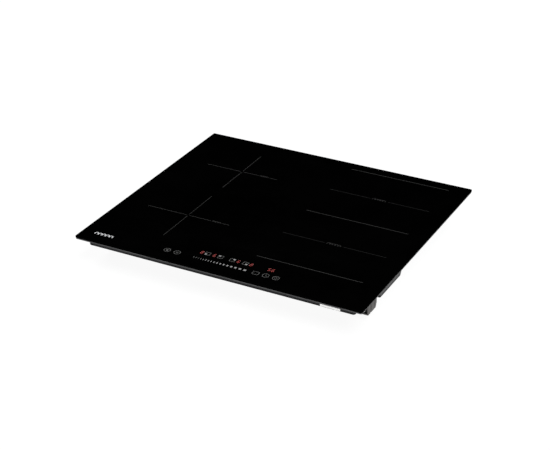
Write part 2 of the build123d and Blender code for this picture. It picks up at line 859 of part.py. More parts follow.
def cable_gland():
    """Hollow gland through the pan's rear wall: flange and dome outside, hexagon nut inside."""
    flange_y = PAN_BACK + GLAND_FLANGE_T
    neck = bar_y(GLAND_X, GLAND_Z, GLAND_NECK_R, PAN_BACK - GLAND_IN, flange_y)
    flange = bar_y(GLAND_X, GLAND_Z, GLAND_HEAD_R, PAN_BACK, flange_y)
    dome_face = Plane.XZ.offset(-flange_y) * Pos(GLAND_X, GLAND_Z) * Circle(GLAND_DOME_R)
    dome = extrude(dome_face, GLAND_FLANGE_T - GLAND_OUT, taper=GLAND_DOME_TAPER)
    nut = Pos(GLAND_X, PAN_BACK - SHEET, GLAND_Z) * Rot(90, 0, 0) * extrude(
        RegularPolygon(GLAND_HEAD_R, 6), GLAND_NUT_T
    )
    whole = neck + flange + dome + nut
    return whole - bar_y(GLAND_X, GLAND_Z, CABLE_R, PAN_BACK - 20, PAN_BACK + 30)


def cable_saddle():
    """Bridge that holds the mains cable down, on two feet."""
    x0 = GLAND_X - SADDLE_X
    x1 = GLAND_X + SADDLE_X
    z0 = GLAND_Z + SADDLE_CLEAR
    bridge = block(x0, x1, SADDLE_Y0, SADDLE_Y1, z0, z0 + SADDLE_T)
    for foot_x in (x0, x1 - SADDLE_FOOT):
        foot_x1 = foot_x + SADDLE_FOOT
        bridge += block(foot_x, foot_x1, SADDLE_Y0, SADDLE_Y1, SHEET_Z1, z0 + 0.5)
    return bridge


TERMINALS_X = spread(TERMINAL_FIRST, TERMINAL_LAST, TERMINALS)


def terminal_block():
    base = block(
        TERMINAL_X0,
        TERMINAL_X1,
        TERMINAL_Y0,
        TERMINAL_Y1,
        SHEET_Z1,
        TERMINAL_Z1,
        TERMINAL_CORNER,
    )
    half = WIRE_HOLE / 2
    wire_y = TERMINAL_MID + 4.5
    for x in TERMINALS_X:
        base -= post(x, TERMINAL_MID, PIT_R, PIT_Z0, TERMINAL_Z1 + 1)
        base -= block(x - half, x + half, wire_y, TERMINAL_Y1 + 1, WIRE_HOLE_Z0, WIRE_HOLE_Z1)
    return base


def terminal_screws():
    """Slotted screws in the pits of the terminal block."""
    top = TERMINAL_SCREW_Z1
    slot = Box(8, TERMINAL_SLOT_W, TERMINAL_SLOT_T)
    return [
        post(x, TERMINAL_MID, TERMINAL_SCREW_R, PIT_Z0 + RUNNING_GAP, top)
        - Pos(x, TERMINAL_MID, top) * slot
        for x in TERMINALS_X
    ]


# Boards and power parts

INVERTER_MID_Y = (INVERTER_Y0 + INVERTER_Y1) / 2
INVERTER_HOLES = [
    (x, y)
    for x in (INVERTER_X0 + BOARD_EDGE, INVERTER_X1 - BOARD_EDGE)
    for y in (INVERTER_Y0 + BOARD_EDGE, INVERTER_MID_Y, INVERTER_Y1 - BOARD_EDGE)
]
FILTER_HOLES = [
    (x, y)
    for x in (-FILTER_X + FILTER_EDGE, FILTER_X - FILTER_EDGE)
    for y in (FILTER_Y0 + FILTER_EDGE, FILTER_Y1 - FILTER_EDGE)
]


def on_board(place, height, corner=0.0):
    """Block that stands on a board, from its x0, x1, y0, y1."""
    x0, x1, y0, y1 = place
    return block(x0, x1, y0, y1, BOARD_Z1, BOARD_Z1 + height, corner)


def with_headers(board, headers):
    """A board joined to its plug headers, which reach slightly into it."""
    for x0, x1, y0, y1, height in headers:
        board += block(x0, x1, y0, y1, BOARD_Z1 - HEADER_ROOT, BOARD_Z1 + height)
    return board


def inverter_board():
    """Right inverter board with its plug headers."""
    board = block(
        INVERTER_X0, INVERTER_X1, INVERTER_Y0, INVERTER_Y1, BOARD_Z0, BOARD_Z1, BOARD_CORNER
    )
    board = with_headers(board, (COIL_HEADER, CONTROL_HEADER))
    for x, y in INVERTER_HOLES:
        board -= post(x, y, BOARD_HOLE_R, BOARD_Z0 - 1, BOARD_Z1 + 1)
    return board


def filter_board():
    """Filter board with the headers of the mains leads and the ribbon."""
    board = block(
        -FILTER_X, FILTER_X, FILTER_Y0, FILTER_Y1, BOARD_Z0, BOARD_Z1, BOARD_CORNER
    )
    board = with_headers(board, (MAINS_HEADER, RIBBON_HEADER))
    for x, y in FILTER_HOLES:
        board -= post(x, y, BOARD_HOLE_R, BOARD_Z0 - 1, BOARD_Z1 + 1)
    return board


def board_hole_places():
    """Every board hole: both inverter boards, then the filter board."""
    inverter = [(side * x, y) for name, side in SIDES for x, y in INVERTER_HOLES]
    return inverter + FILTER_HOLES


def board_standoffs():
    stands = []
    for x, y in board_hole_places():
        stand = post(x, y, STANDOFF_R, SHEET_Z1, BOARD_Z0)
        stands.append(stand - post(x, y, BOARD_HOLE_R, SHEET_Z1 + 0.5, BOARD_Z0 + 1))
    return stands


def heat_sink():
    """Right heat sink: a base with upright fins along the air flow."""
    sink = block(SINK_X0, SINK_X1, SINK_Y0, SINK_Y1, SINK_Z0, SINK_Z0 + SINK_BASE)
    for x in spread(SINK_X0 + FIN_T / 2, SINK_X1 - FIN_T / 2, SINK_FINS):
        sink += block(
            x - FIN_T / 2, x + FIN_T / 2, SINK_Y0, SINK_Y1, SINK_Z0 + SINK_BASE - 0.5, SINK_Z1
        )
    return sink


def power_devices():
    """Switching transistors and a bridge rectifier below each heat sink."""
    height = SINK_Z0 - BOARD_Z1
    places = [(*TRANSISTOR_X, y, y + TRANSISTOR_D) for y in TRANSISTOR_Y] + [RECTIFIER]
    return [flip(on_board(p, height), side) for name, side in SIDES for p in places]


def film_capacitors():
    """Box capacitors of both inverters, and two on the filter board."""
    boxes = []
    for name, side in SIDES:
        for y in CAPACITOR_Y:
            place = (*CAPACITOR_X, y, y + CAPACITOR_D)
            boxes.append(flip(on_board(place, CAPACITOR_H, DEVICE_CORNER), side))
        boxes.append(flip(on_board(BUS_CAPACITOR, BUS_CAPACITOR_H, DEVICE_CORNER), side))
    for y in FILTER_CAPACITOR_Y:
        place = (*FILTER_CAPACITOR_X, y, y + FILTER_CAPACITOR_D)
        boxes.append(on_board(place, FILTER_CAPACITOR_H, DEVICE_CORNER))
    return boxes


def chokes():
    """Ring chokes: one on each inverter board and one on the filter board."""
    rings = []
    for x, y in ((CHOKE_X, CHOKE_Y), (-CHOKE_X, CHOKE_Y), FILTER_CHOKE):
        ring = post(x, y, CHOKE_R, BOARD_Z1, BOARD_Z1 + CHOKE_H)
        ring -= post(x, y, CHOKE_EYE_R, BOARD_Z1 - 1, BOARD_Z1 + CHOKE_H + 1)
        rings.append(fillet(ring.edges().group_by(Axis.Z)[-1], CHOKE_EDGE_R))
    return rings


def insulation_sheet():
    """Thin sheet on the pan's floor, cut out around the fans and the ribs."""
    front = PAN_FRONT + SHEET_EDGE
    back = PAN_BACK - SHEET_EDGE
    sheet = block(-SHEET_X, SHEET_X, front, back, SHEET, SHEET_Z1, SHEET_CORNER)
    above = SHEET_Z1 + 1
    half = FAN_SIZE / 2 + 1
    for name, side in SIDES:
        x = side * FAN_X
        sheet -= block(x - half, x + half, FAN_Y - half, FAN_Y + half, 0, above)
    y0 = RIB_Y - RIB_LENGTH / 2 - RIB_END_CLEAR
    y1 = RIB_Y + RIB_LENGTH / 2 + RIB_END_CLEAR
    for x in RIB_X:
        sheet -= block(x - RIB_CLEAR, x + RIB_CLEAR, y0, y1, 0, above, SHEET_RIB_CORNER)
    return sheet


# Fans


def fan_housing(side):
    x = side * FAN_X
    half = FAN_SIZE / 2
    frame = block(x - half, x + half, FAN_Y - half, FAN_Y + half, FAN_Z0, FAN_Z1, FAN_CORNER)
    frame -= post(x, FAN_Y, FAN_DUCT_R, FAN_Z0 - 1, FAN_Z1 + 1)
    frame += post(x, FAN_Y, STATOR_R, FAN_Z0, FAN_Z0 + STRUT_T)
    strut = Pos(STRUT_MID_R, 0, FAN_Z0 + STRUT_T / 2) * Box(STRUT_L, STRUT_W, STRUT_T)
    for angle in STRUT_ANGLES:
        frame += Pos(x, FAN_Y, 0) * Rot(0, 0, angle) * strut
    for sx, sy in FAN_SCREW_PLACES:
        if sx * side > 0:
            frame -= post(sx, sy, FAN_HOLE_R, FAN_Z0 - 1, FAN_Z1 + 1)
    return frame


def fan_stator(side):
    x = side * FAN_X
    top = FAN_Z0 + STATOR_TOP
    stator = post(x, FAN_Y, STATOR_R, FAN_Z0 + STRUT_T, top)
    bore = FAN_SHAFT_R + RUNNING_GAP
    return stator - post(x, FAN_Y, bore, FAN_Z0 + 3, top + 1)


def fan_rotor(side):
    x = side * FAN_X
    top = FAN_Z1 - 1
    cup = post(0, 0, HUB_R, FAN_Z0 + HUB_BOTTOM, top)
    cup -= post(0, 0, HUB_R - HUB_WALL, FAN_Z0 + 1, top - HUB_ROOF)
    cup += post(0, 0, FAN_SHAFT_R, FAN_Z0 + 4, top - 1)
    mid_z = FAN_Z0 + 11
    length = BLADE_TIP_R - HUB_R + 4
    band = post(0, 0, BLADE_TIP_R, FAN_Z0, FAN_Z1)
    band -= post(0, 0, HUB_R - HUB_WALL / 2, FAN_Z0 - 1, FAN_Z1 + 1)
    flat = Box(length, BLADE_CHORD, BLADE_T)
    blade = Pos(HUB_R + length / 2 - 2, 0, mid_z) * Rot(BLADE_TILT, 0, 0) * flat
    for i in range(BLADES):
        cup += (Rot(0, 0, 360.0 * i / BLADES) * blade) & band
    return Pos(x, FAN_Y, 0) * cup


# Coils


def winding(zone):
    """Coil of one zone, with a groove between its turns."""
    width = zone[3]
    inner = width / 2 - COIL_EYE
    coil = zone_ring(zone, COIL_INSET, inner, WINDING_Z0, WINDING_Z1)
    turns = int((inner - COIL_INSET) / TURN_PITCH)
    for i in range(1, turns):
        inset = COIL_INSET + TURN_PITCH * i
        coil -= zone_ring(
            zone,
            inset - TURN_GROOVE / 2,
            inset + TURN_GROOVE / 2,
            WINDING_Z1 - TURN_DEPTH,
            WINDING_Z1 + 1,
        )
    return coil


def former(zone):
    """Moulded disc that carries a coil, with a round eye for the sensor."""
    name, x, y, width, depth, corner = zone
    disc = zone_disc(zone, COIL_INSET - 2, FORMER_Z0, WINDING_Z0)
    return disc - post(x, y, SENSOR_R + 1.0, FORMER_Z0 - 1, WINDING_Z0 + 1)


def ferrite_bars():
    """Eight radial ferrite bars below each coil."""
    bars = []
    for name, x, y, width, depth, corner in ZONES:
        end = min(width, depth) / 2 - FERRITE_END
        start = FERRITE_START
        size = Box(end - start, FERRITE_W, FORMER_Z0 - FERRITE_Z0)
        bar = Pos((start + end) / 2, 0, (FERRITE_Z0 + FORMER_Z0) / 2) * size
        step = 360.0 / FERRITES
        bars += [Pos(x, y, 0) * Rot(0, 0, step * (i + 0.5)) * bar for i in range(FERRITES)]
    return bars


def mica_sheets():
    sheets = []
    for zone in ZONES:
        sheet = zone_disc(zone, COIL_INSET - 2, MICA_Z0, MICA_Z0 + MICA_T)
        sheets.append(sheet - post(zone[1], zone[2], SENSOR_R + 1.0, MICA_Z0 - 1, GLASS_Z))
    return sheets


def temperature_sensors():
    """Spring-loaded sensor cans in the eyes of the coils."""
    cans = []
    for name, x, y, width, depth, corner in ZONES:
        can = post(x, y, SENSOR_R, PLATE_Z0 + PLATE_T, GLASS_Z - SENSOR_GAP)
        cans.append(fillet(can.edges().group_by(Axis.Z)[-1], SENSOR_EDGE_R))
    return cans


def lead_places():
    """Where each zone's two leads drop through the plate, with the side of the zone."""
    places = []
    for name, x, y, width, depth, corner in ZONES:
        side = 1 if x > 0 else -1
        shift = LEAD_SHIFT if name.startswith("rear") else 0.0
        reach = width / 2 - COIL_INSET
        if corner >= width / 2:
            reach = math.sqrt(reach**2 - (shift - LEAD_SPREAD) ** 2)
        lead_x = x - side * (reach + LEAD_OUT)
        places += [(lead_x, y - shift + dy, side) for dy in (-LEAD_SPREAD, LEAD_SPREAD)]
    return places


def coil_plate():
    plate = block(
        -PLATE_X,
        PLATE_X,
        PLATE_FRONT,
        PLATE_BACK,
        PLATE_Z0,
        PLATE_Z0 + PLATE_T,
        PLATE_CORNER,
    )
    for x, y, side in lead_places():
        plate -= post(x, y, LEAD_HOLE_R, PLATE_Z0 - 1, PLATE_Z0 + PLATE_T + 1)
    notch_x = CLAMP_X - PLATE_NOTCH
    notch_y = CLAMP_Y + PLATE_NOTCH
    notch = block(
        notch_x, PLATE_X + 1, PLATE_FRONT - 1, notch_y, PLATE_Z0 - 1, PLATE_Z0 + PLATE_T + 1
    )
    for name, side in SIDES:
        plate -= flip(notch, side)
    return plate


def plate_cushions():
    """Soft pads between the frame's ledge and the coil plate."""
    z0 = FRAME_BOTTOM + SHEET + CUSHION_GAP
    z1 = PLATE_Z0 - CUSHION_GAP
    places = [(side * CUSHION_SIDE_X, y) for name, side in SIDES for y in CUSHION_SIDE_Y]
    places += [(x, CUSHION_FRONT_Y) for x in CUSHION_FRONT_X]
    return [post(x, y, CUSHION_R, z0, z1) for x, y in places]


def coil_leads():
    """Two leads of each zone, from the coil's edge down to the inverter board."""
    leads = []
    for x, y, side in lead_places():
        z_top = WINDING_Z0 + LEAD_R + LEAD_GAP
        end_x = x + side * LEAD_REACH
        path = FilletPolyline(
            (end_x, y, z_top), (x, y, z_top), (x, y, BOARD_Z1), radius=LEAD_BEND
        )
        ring = Plane(origin=(end_x, y, z_top), z_dir=(-side, 0, 0)) * Circle(LEAD_R)
        leads.append(sweep(ring, path=path))
    return leads


def mains_leads():
    """Three leads from the terminal block round the fan to the filter board."""
    leads = []
    start_y = TERMINAL_MID + 8.0
    turn_x = TERMINAL_X0 - 7.0
    back_y = FAN_Y + FAN_SIZE / 2 + 10.0
    end_x, end_y = 40.0, 202.0
    for z in MAINS_LEADS_Z:
        path = FilletPolyline(
            (TERMINAL_X0, start_y, z),
            (turn_x, start_y, z),
            (turn_x, back_y, z),
            (end_x, back_y, z),
            (end_x, end_y, z),
            radius=MAINS_LEAD_BEND,
        )
        ring = Plane(origin=(TERMINAL_X0, start_y, z), z_dir=(-1, 0, 0)) * Circle(MAINS_LEAD_R)
        leads.append(sweep(ring, path=path))
    return leads


# Control


def control_carrier():
    tray = block(
        -CONTROL_X,
        CONTROL_X,
        CONTROL_Y0,
        CONTROL_Y1,
        CARRIER_Z0,
        CARRIER_Z1,
        CARRIER_CORNER,
    )
    wall = CARRIER_WALL
    tray -= block(
        -CONTROL_X + wall,
        CONTROL_X - wall,
        CONTROL_Y0 + wall,
        CONTROL_Y1 - wall,
        CARRIER_Z0 + wall,
        CARRIER_Z1 + 1,
        CARRIER_CORNER - 1,
    )
    bore_z0 = CARRIER_Z0 + 2.5
    for x, y in CONTROL_SCREW_PLACES:
        tray += post(x, y, CARRIER_BOSS_R, CARRIER_Z0 + 1, CONTROL_BOARD_Z0)
        tray -= post(x, y, CARRIER_BOSS_HOLE_R, bore_z0, CONTROL_BOARD_Z0 + 1)
    gate = CARRIER_GATE_X
    return tray - block(-gate, gate, CONTROL_Y1 - 3, CONTROL_Y1 + 1, bore_z0, CARRIER_Z1 + 1)


CONTROL_SCREW_PLACES = [
    (x, y) for x in (-CONTROL_SCREW_X, CONTROL_SCREW_X) for y in CONTROL_SCREW_Y
] + [(x, CONTROL_SCREW_Y[0]) for x in (-CONTROL_MIDDLE_X, CONTROL_MIDDLE_X)]


def control_board():
    gap = CARRIER_WALL + 0.5
    board = block(
        -CONTROL_X + gap,
        CONTROL_X - gap,
        CONTROL_Y0 + gap,
        CONTROL_Y1 - gap,
        CONTROL_BOARD_Z0,
        CONTROL_BOARD_Z1,
        1.5,
    )
    for x, y in CONTROL_SCREW_PLACES:
        board -= post(x, y, 1.6, CONTROL_BOARD_Z0 - 1, CONTROL_BOARD_Z1 + 1)
    return board


def touch_pads():
    """Soft conductive pads between the control board and the glass."""
    pads = [post(x, KEY_Y, KEY_R, CONTROL_BOARD_Z1, PAD_TOP) for x in KEYS_X]
    return pads + [post(x, ZONE_ROW_Y, ZONE_KEY_R, CONTROL_BOARD_Z1, PAD_TOP) for x in ZONE_KEYS_X]


def digit_places():
    """Centres along X of the zone digits, then of the two timer digits."""
    half = DIGIT_W / 2 + 0.2
    return ZONE_DIGITS_X + (TIMER_X - half, TIMER_X + half)


def digit(x):
    """One seven-segment digit block."""
    return block(
        x - DIGIT_W / 2,
        x + DIGIT_W / 2,
        ZONE_ROW_Y - DIGIT_D / 2,
        ZONE_ROW_Y + DIGIT_D / 2,
        CONTROL_BOARD_Z1,
        PAD_TOP,
        0.5,
    )


def slider_light_guide():
    """Clear bar behind the slider, with a row of cells open towards the board."""
    x = SLIDER_X + 2.0
    y0 = KEY_Y - GUIDE_HALF_D
    y1 = KEY_Y + GUIDE_HALF_D
    bar = block(-x, x, y0, y1, CONTROL_BOARD_Z1, PAD_TOP, 1.0)
    half = GUIDE_CELL / 2
    z0 = CONTROL_BOARD_Z1 - 1
    z1 = PAD_TOP - GUIDE_ROOF
    for cell_x in spread(-SLIDER_X + 4, SLIDER_X - 4, GUIDE_CELLS):
        bar -= block(cell_x - half, cell_x + half, KEY_Y - half, KEY_Y + half, z0, z1)
    return bar


def control_ribbon():
    """Flat cable from below the control board, down into the pan and back to the filter board."""
    board_z = CONTROL_BOARD_Z0 - 1.4
    tray_z = FRAME_BOTTOM + SHEET + 1.25
    floor_z = SHEET_Z1 + 3.0
    header_z = BOARD_Z1 + 2.9
    route = FilletPolyline(
        (0, CONTROL_Y1 - 5.0, board_z),
        (0, CONTROL_Y1 + 0.5, board_z),
        (0, CONTROL_Y1 + 3.5, tray_z),
        (0, PAN_FRONT + 10.0, tray_z),
        (0, PAN_FRONT + 17.0, floor_z),
        (0, FILTER_Y0 - 18.0, floor_z),
        (0, FILTER_Y0 - 8.0, header_z),
        (0, FILTER_Y0 + 1.9, header_z),
        radius=RIBBON_BEND,
    )
    strip = Rectangle(RIBBON_W, RIBBON_T)
    section = Plane(origin=route @ 0, x_dir=(1, 0, 0), z_dir=route % 0) * strip
    return sweep(section, path=route)


def headed_screw(x, y, head_r, head_z, head_t, shank_r, tip_z):
    """Upright screw with a flat round head that rests at a height."""
    shank = post(x, y, shank_r, tip_z, head_z + 0.5)
    return shank + post(x, y, head_r, head_z, head_z + head_t)


def inner_screws():
    """Screws of the boards, fans and control carrier."""
    screws = []
    for x, y in board_hole_places():
        screws.append(headed_screw(x, y, 3.0, BOARD_Z1, 1.8, SCREW_R, SHEET_Z1 + 1.0))
    for x, y in FAN_SCREW_PLACES:
        screws.append(headed_screw(x, y, 3.2, FAN_Z1, 2.0, SCREW_R, 0.2))
    for x, y in CONTROL_SCREW_PLACES:
        screws.append(headed_screw(x, y, 2.4, CONTROL_BOARD_Z1, 1.5, 1.2, CARRIER_Z0 + 3))
    return screws


def main():
    os.makedirs("parts", exist_ok=True)
    save("glass_plate", glass_plate())
    save("glass_seal", glass_seal())
    save("adhesive_bead", adhesive_bead())
    save("upper_frame", upper_frame())
    save("blank_label", blank_label())
    save("lower_pan", lower_pan())
    save("case_screws", *case_screws())
    save("clamp_nuts", *clamp_nuts())
    for name, side in SIDES:
        save("clamp_" + name, flip(clamp(), side))
        save("clamp_screw_" + name, flip(clamp_screw(), side))
        save("side_outlet_" + name, flip(side_outlet(), side))
        save("rear_spacer_" + name, flip(rear_spacer(), side))
        save("inverter_board_" + name, flip(inverter_board(), side))
        save("heat_sink_" + name, flip(heat_sink(), side))
        save("fan_housing_" + name, fan_housing(side))
        save("fan_stator_" + name, fan_stator(side))
        save("fan_rotor_" + name, fan_rotor(side))
    save("cable_gland", cable_gland())
    save("cable_saddle", cable_saddle())
    save("terminal_block", terminal_block())
    save("terminal_screws", *terminal_screws())
    save("filter_board", filter_board())
    save("board_standoffs", *board_standoffs())
    save("power_devices", *power_devices())
    save("film_capacitors", *film_capacitors())
    save("chokes", *chokes())
    save("mains_relay", on_board(RELAY, RELAY_H, DEVICE_CORNER))
    save("supply_transformer", on_board(TRANSFORMER, TRANSFORMER_H, TRANSFORMER_CORNER))
    save("insulation_sheet", insulation_sheet())
    for zone in ZONES:
        save("winding_" + zone[0], winding(zone))
        save("former_" + zone[0], former(zone))
    save("ferrite_bars", *ferrite_bars())
    save("mica_sheets", *mica_sheets())
    save("temperature_sensors", *temperature_sensors())
    save("coil_plate", coil_plate())
    save("plate_cushions", *plate_cushions())
    save("coil_leads", *coil_leads())
    save("mains_leads", *mains_leads())
    save("control_carrier", control_carrier())
    save("control_board", control_board())
    save("touch_pads", *touch_pads())
    save("digit_displays", *[digit(x) for x in digit_places()])
    save("slider_light_guide", slider_light_guide())
    save("control_ribbon", control_ribbon())
    save("inner_screws", *inner_screws())


main()
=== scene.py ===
import json
import math

import bmesh
import bpy
from mathutils import Matrix, Vector


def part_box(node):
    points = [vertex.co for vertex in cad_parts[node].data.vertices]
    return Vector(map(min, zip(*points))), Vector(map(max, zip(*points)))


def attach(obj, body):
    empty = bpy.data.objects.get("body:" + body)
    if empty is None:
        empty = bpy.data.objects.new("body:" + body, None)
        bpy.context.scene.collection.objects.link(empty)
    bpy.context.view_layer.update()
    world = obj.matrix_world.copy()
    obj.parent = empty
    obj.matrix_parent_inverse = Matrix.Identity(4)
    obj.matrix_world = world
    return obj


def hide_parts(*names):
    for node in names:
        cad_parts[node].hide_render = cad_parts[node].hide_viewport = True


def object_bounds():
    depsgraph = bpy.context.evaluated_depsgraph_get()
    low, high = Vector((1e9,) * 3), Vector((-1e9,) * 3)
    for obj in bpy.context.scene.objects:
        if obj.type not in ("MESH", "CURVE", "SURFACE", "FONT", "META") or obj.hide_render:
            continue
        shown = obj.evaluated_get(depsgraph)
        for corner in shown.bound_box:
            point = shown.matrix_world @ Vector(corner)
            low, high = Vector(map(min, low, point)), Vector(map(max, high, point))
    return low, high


# Looks of the built-in induction hob. +X is right, +Y back, +Z up. Lengths are in metres, except
# where a comment says millimetres.

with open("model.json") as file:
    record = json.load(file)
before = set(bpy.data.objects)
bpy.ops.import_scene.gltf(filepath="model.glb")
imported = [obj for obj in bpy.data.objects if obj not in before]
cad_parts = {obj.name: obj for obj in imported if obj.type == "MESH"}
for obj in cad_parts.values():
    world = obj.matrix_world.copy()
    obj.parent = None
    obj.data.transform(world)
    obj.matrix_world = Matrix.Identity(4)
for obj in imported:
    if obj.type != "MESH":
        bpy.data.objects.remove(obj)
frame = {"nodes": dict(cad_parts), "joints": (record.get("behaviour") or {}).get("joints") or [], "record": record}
cad_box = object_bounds()

MM = 0.001
ROOT = "hob"
SLOT_OF = {s["node"]: s["material_slot"] for s in frame["record"]["subparts"]}
CLAMP_TRAVEL = max(j["range_m"][1] for j in frame["joints"] if j["type"] == "slide")

# The prints take the top of the plate's height, so that they stay inside the CAD model's box: the
# glass face lies lower by their thickness, and they sink a little into it.
GLASS_LOW, GLASS_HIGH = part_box("glass_plate")
GLASS_TOP = GLASS_HIGH.z
PRINT_T = 0.04 * MM
PRINT_SINK = 0.02 * MM
GLASS_FACE = GLASS_TOP - PRINT_T

# Camera: angles in degrees, lens and sensor in millimetres
VIEW_AZIMUTH = 28.030
VIEW_ELEVATION = 28.109
VIEW_ROLL = -0.354
VIEW_DISTANCE = 2.7599
AIM_RIGHT = -0.00841
AIM_UP = -0.0253
LENS = 93.91
SENSOR = 36.0


# Node helpers

# Most of a noise texture's values lie between these
NOISE_LOW = 0.3
NOISE_HIGH = 0.7


class Shader:
    """A Principled material, and short calls for the textures that feed it."""

    def __init__(self, name, roughness, metallic=0.0, specular=0.5):
        self.material = bpy.data.materials.new(name)
        self.material.use_nodes = True
        self.nodes = self.material.node_tree.nodes
        self.links = self.material.node_tree.links
        self.bsdf = self.nodes["Principled BSDF"]
        self.bsdf.inputs["Roughness"].default_value = roughness
        self.bsdf.inputs["Metallic"].default_value = metallic
        self.bsdf.inputs["Specular IOR Level"].default_value = specular
        self.place = self.nodes.new("ShaderNodeTexCoord").outputs["Object"]

    def stretched(self, x, y, z):
        """The place, scaled by a different amount along each axis."""
        node = self.nodes.new("ShaderNodeMapping")
        node.inputs["Scale"].default_value = (x, y, z)
        self.links.new(self.place, node.inputs["Vector"])
        return node.outputs["Vector"]

    def noise(self, scale, detail=3.0, roughness=0.55, place=None):
        """Cloudy noise, with the scale per metre."""
        node = self.nodes.new("ShaderNodeTexNoise")
        node.inputs["Scale"].default_value = scale
        node.inputs["Detail"].default_value = detail
        node.inputs["Roughness"].default_value = roughness
        self.links.new(place or self.place, node.inputs["Vector"])
        return node.outputs["Fac"]

    def cells(self, scale, smooth=True):
        """Cells: the smooth distance to their points, or one colour for each cell."""
        node = self.nodes.new("ShaderNodeTexVoronoi")
        node.feature = "SMOOTH_F1" if smooth else "F1"
        node.inputs["Scale"].default_value = scale
        self.links.new(self.place, node.inputs["Vector"])
        return node.outputs["Distance" if smooth else "Color"]

    def waves(self, scale, distortion):
        """Diagonal bands, bent by the distortion."""
        node = self.nodes.new("ShaderNodeTexWave")
        node.bands_direction = "DIAGONAL"
        node.inputs["Scale"].default_value = scale
        node.inputs["Distortion"].default_value = distortion
        self.links.new(self.place, node.inputs["Vector"])
        return node.outputs["Fac"]

    def ramp(self, factor, *stops):
        """A colour ramp: each stop is a position and a grey value or a colour."""
        node = self.nodes.new("ShaderNodeValToRGB")
        elements = node.color_ramp.elements
        while len(elements) < len(stops):
            elements.new(0.5)
        for element, (position, colour) in zip(elements, stops):
            element.position = position
            grey = isinstance(colour, (int, float))
            element.color = (colour, colour, colour, 1) if grey else (*colour, 1)
        self.links.new(factor, node.inputs["Fac"])
        return node.outputs["Color"]

    def fade(self, factor, low, high):
        """A ramp from low to high over the middle of a noise's values."""
        return self.ramp(factor, (NOISE_LOW, low), (NOISE_HIGH, high))

    def mix(self, factor, a, b, mode="MIX"):
        """Colour a turning into b; the factor and the colours are values or sockets."""
        node = self.nodes.new("ShaderNodeMix")
        node.data_type = "RGBA"
        node.blend_type = mode
        sockets = {s.identifier: s for s in node.inputs}
        for name, value in (("A_Color", a), ("B_Color", b)):
            if isinstance(value, bpy.types.NodeSocket):
                self.links.new(value, sockets[name])
            else:
                sockets[name].default_value = (*value, 1)
        if isinstance(factor, bpy.types.NodeSocket):
            self.links.new(factor, sockets["Factor_Float"])
        else:
            sockets["Factor_Float"].default_value = factor
        return next(s for s in node.outputs if s.identifier == "Result_Color")

    def axis(self, name):
        """One coordinate of the place, as a number in metres."""
        node = self.nodes.new("ShaderNodeSeparateXYZ")
        self.links.new(self.place, node.inputs["Vector"])
        return node.outputs[name]

    def spread(self, value, low, high):
        """A number mapped from low..high to 0..1."""
        node = self.nodes.new("ShaderNodeMapRange")
        node.inputs["From Min"].default_value = low
        node.inputs["From Max"].default_value = high
        self.links.new(value, node.inputs["Value"])
        return node.outputs["Result"]

    def colour(self, source):
        """Feed the base colour."""
        self.links.new(source, self.bsdf.inputs["Base Color"])

    def roughness(self, factor, low, high):
        """Feed the roughness, from low to high with the factor."""
        self.links.new(self.fade(factor, low, high), self.bsdf.inputs["Roughness"])

    def bump(self, height, distance):
        """Relief of the given depth, from a texture's values."""
        node = self.nodes.new("ShaderNodeBump")
        node.inputs["Strength"].default_value = 1.0
        node.inputs["Distance"].default_value = distance
        self.links.new(height, node.inputs["Height"])
        self.links.new(node.outputs["Normal"], self.bsdf.inputs["Normal"])


def shade(colour, factor):
    """The colour made darker or lighter by a factor."""
    return tuple(min(1.0, c * factor) for c in colour)


# Material families: each function makes one material of the given name

# Heights between which painted shade darkens the upper frame and the side outlets, going down to their lower edges
FRAME_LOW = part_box("upper_frame")[0].z
FRAME_SHADE_BAND = (FRAME_LOW + 2.6 * MM, FRAME_LOW + 3.6 * MM)
OUTLET_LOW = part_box("side_outlet_right")[0].z
OUTLET_SHADE_BAND = (OUTLET_LOW + 3.0 * MM, OUTLET_LOW + 4.5 * MM)


def moulded(name, colour, roughness=0.5, grain=1400, specular=0.4, shade_band=None):
    """Moulded plastic: fine spark-eroded grain, faint flow marks and dust; a shade band adds painted shade towards
    the bottom.
    """
    s = Shader(name, roughness, specular=specular)
    flow = s.noise(28, detail=4)
    base = s.fade(flow, shade(colour, 0.86), shade(colour, 1.14))
    dust = s.ramp(s.noise(2200, detail=2), (0.55, 0.0), (0.75, 0.12))
    surface = s.mix(dust, base, shade(colour, 2.2))
    # painted shade: the colour darkens towards the bottom, below the band
    if shade_band:
        surface = s.mix(s.spread(s.axis("Z"), *shade_band), shade(colour, 0.3), surface)
    s.colour(surface)
    s.roughness(s.noise(60), roughness - 0.07, roughness + 0.08)
    s.bump(s.cells(grain), 0.04 * MM)
    return s.material


def galvanised(name):
    """Zinc-coated sheet with a spangle of grains."""
    s = Shader(name, 0.42, metallic=0.9)
    grains = s.cells(120, smooth=False)
    grey = s.ramp(grains, (0.0, (0.24, 0.25, 0.26)), (1.0, (0.40, 0.41, 0.42)))
    cloud = s.fade(s.noise(14, detail=4), 0.82, 1.0)
    s.colour(s.mix(1.0, grey, cloud, "MULTIPLY"))
    s.roughness(grains, 0.34, 0.52)
    s.bump(s.noise(700), 0.02 * MM)
    return s.material


def machined(name, colour, roughness):
    """Bare metal with fine drawn lines along X."""
    s = Shader(name, roughness, metallic=1.0)
    lines = s.noise(1.0, place=s.stretched(40, 2400, 2400))
    s.colour(s.fade(lines, shade(colour, 0.8), shade(colour, 1.12)))
    s.roughness(lines, roughness - 0.08, roughness + 0.12)
    s.bump(lines, 0.01 * MM)
    return s.material


def zinc(name):
    """Zinc-plated fastener with a faint yellow cast in patches."""
    s = Shader(name, 0.3, metallic=1.0)
    patch = s.noise(260, detail=4)
    s.colour(s.ramp(patch, (0.35, (0.50, 0.49, 0.46)), (0.65, (0.66, 0.62, 0.50))))
    s.roughness(s.noise(800), 0.24, 0.42)
    return s.material


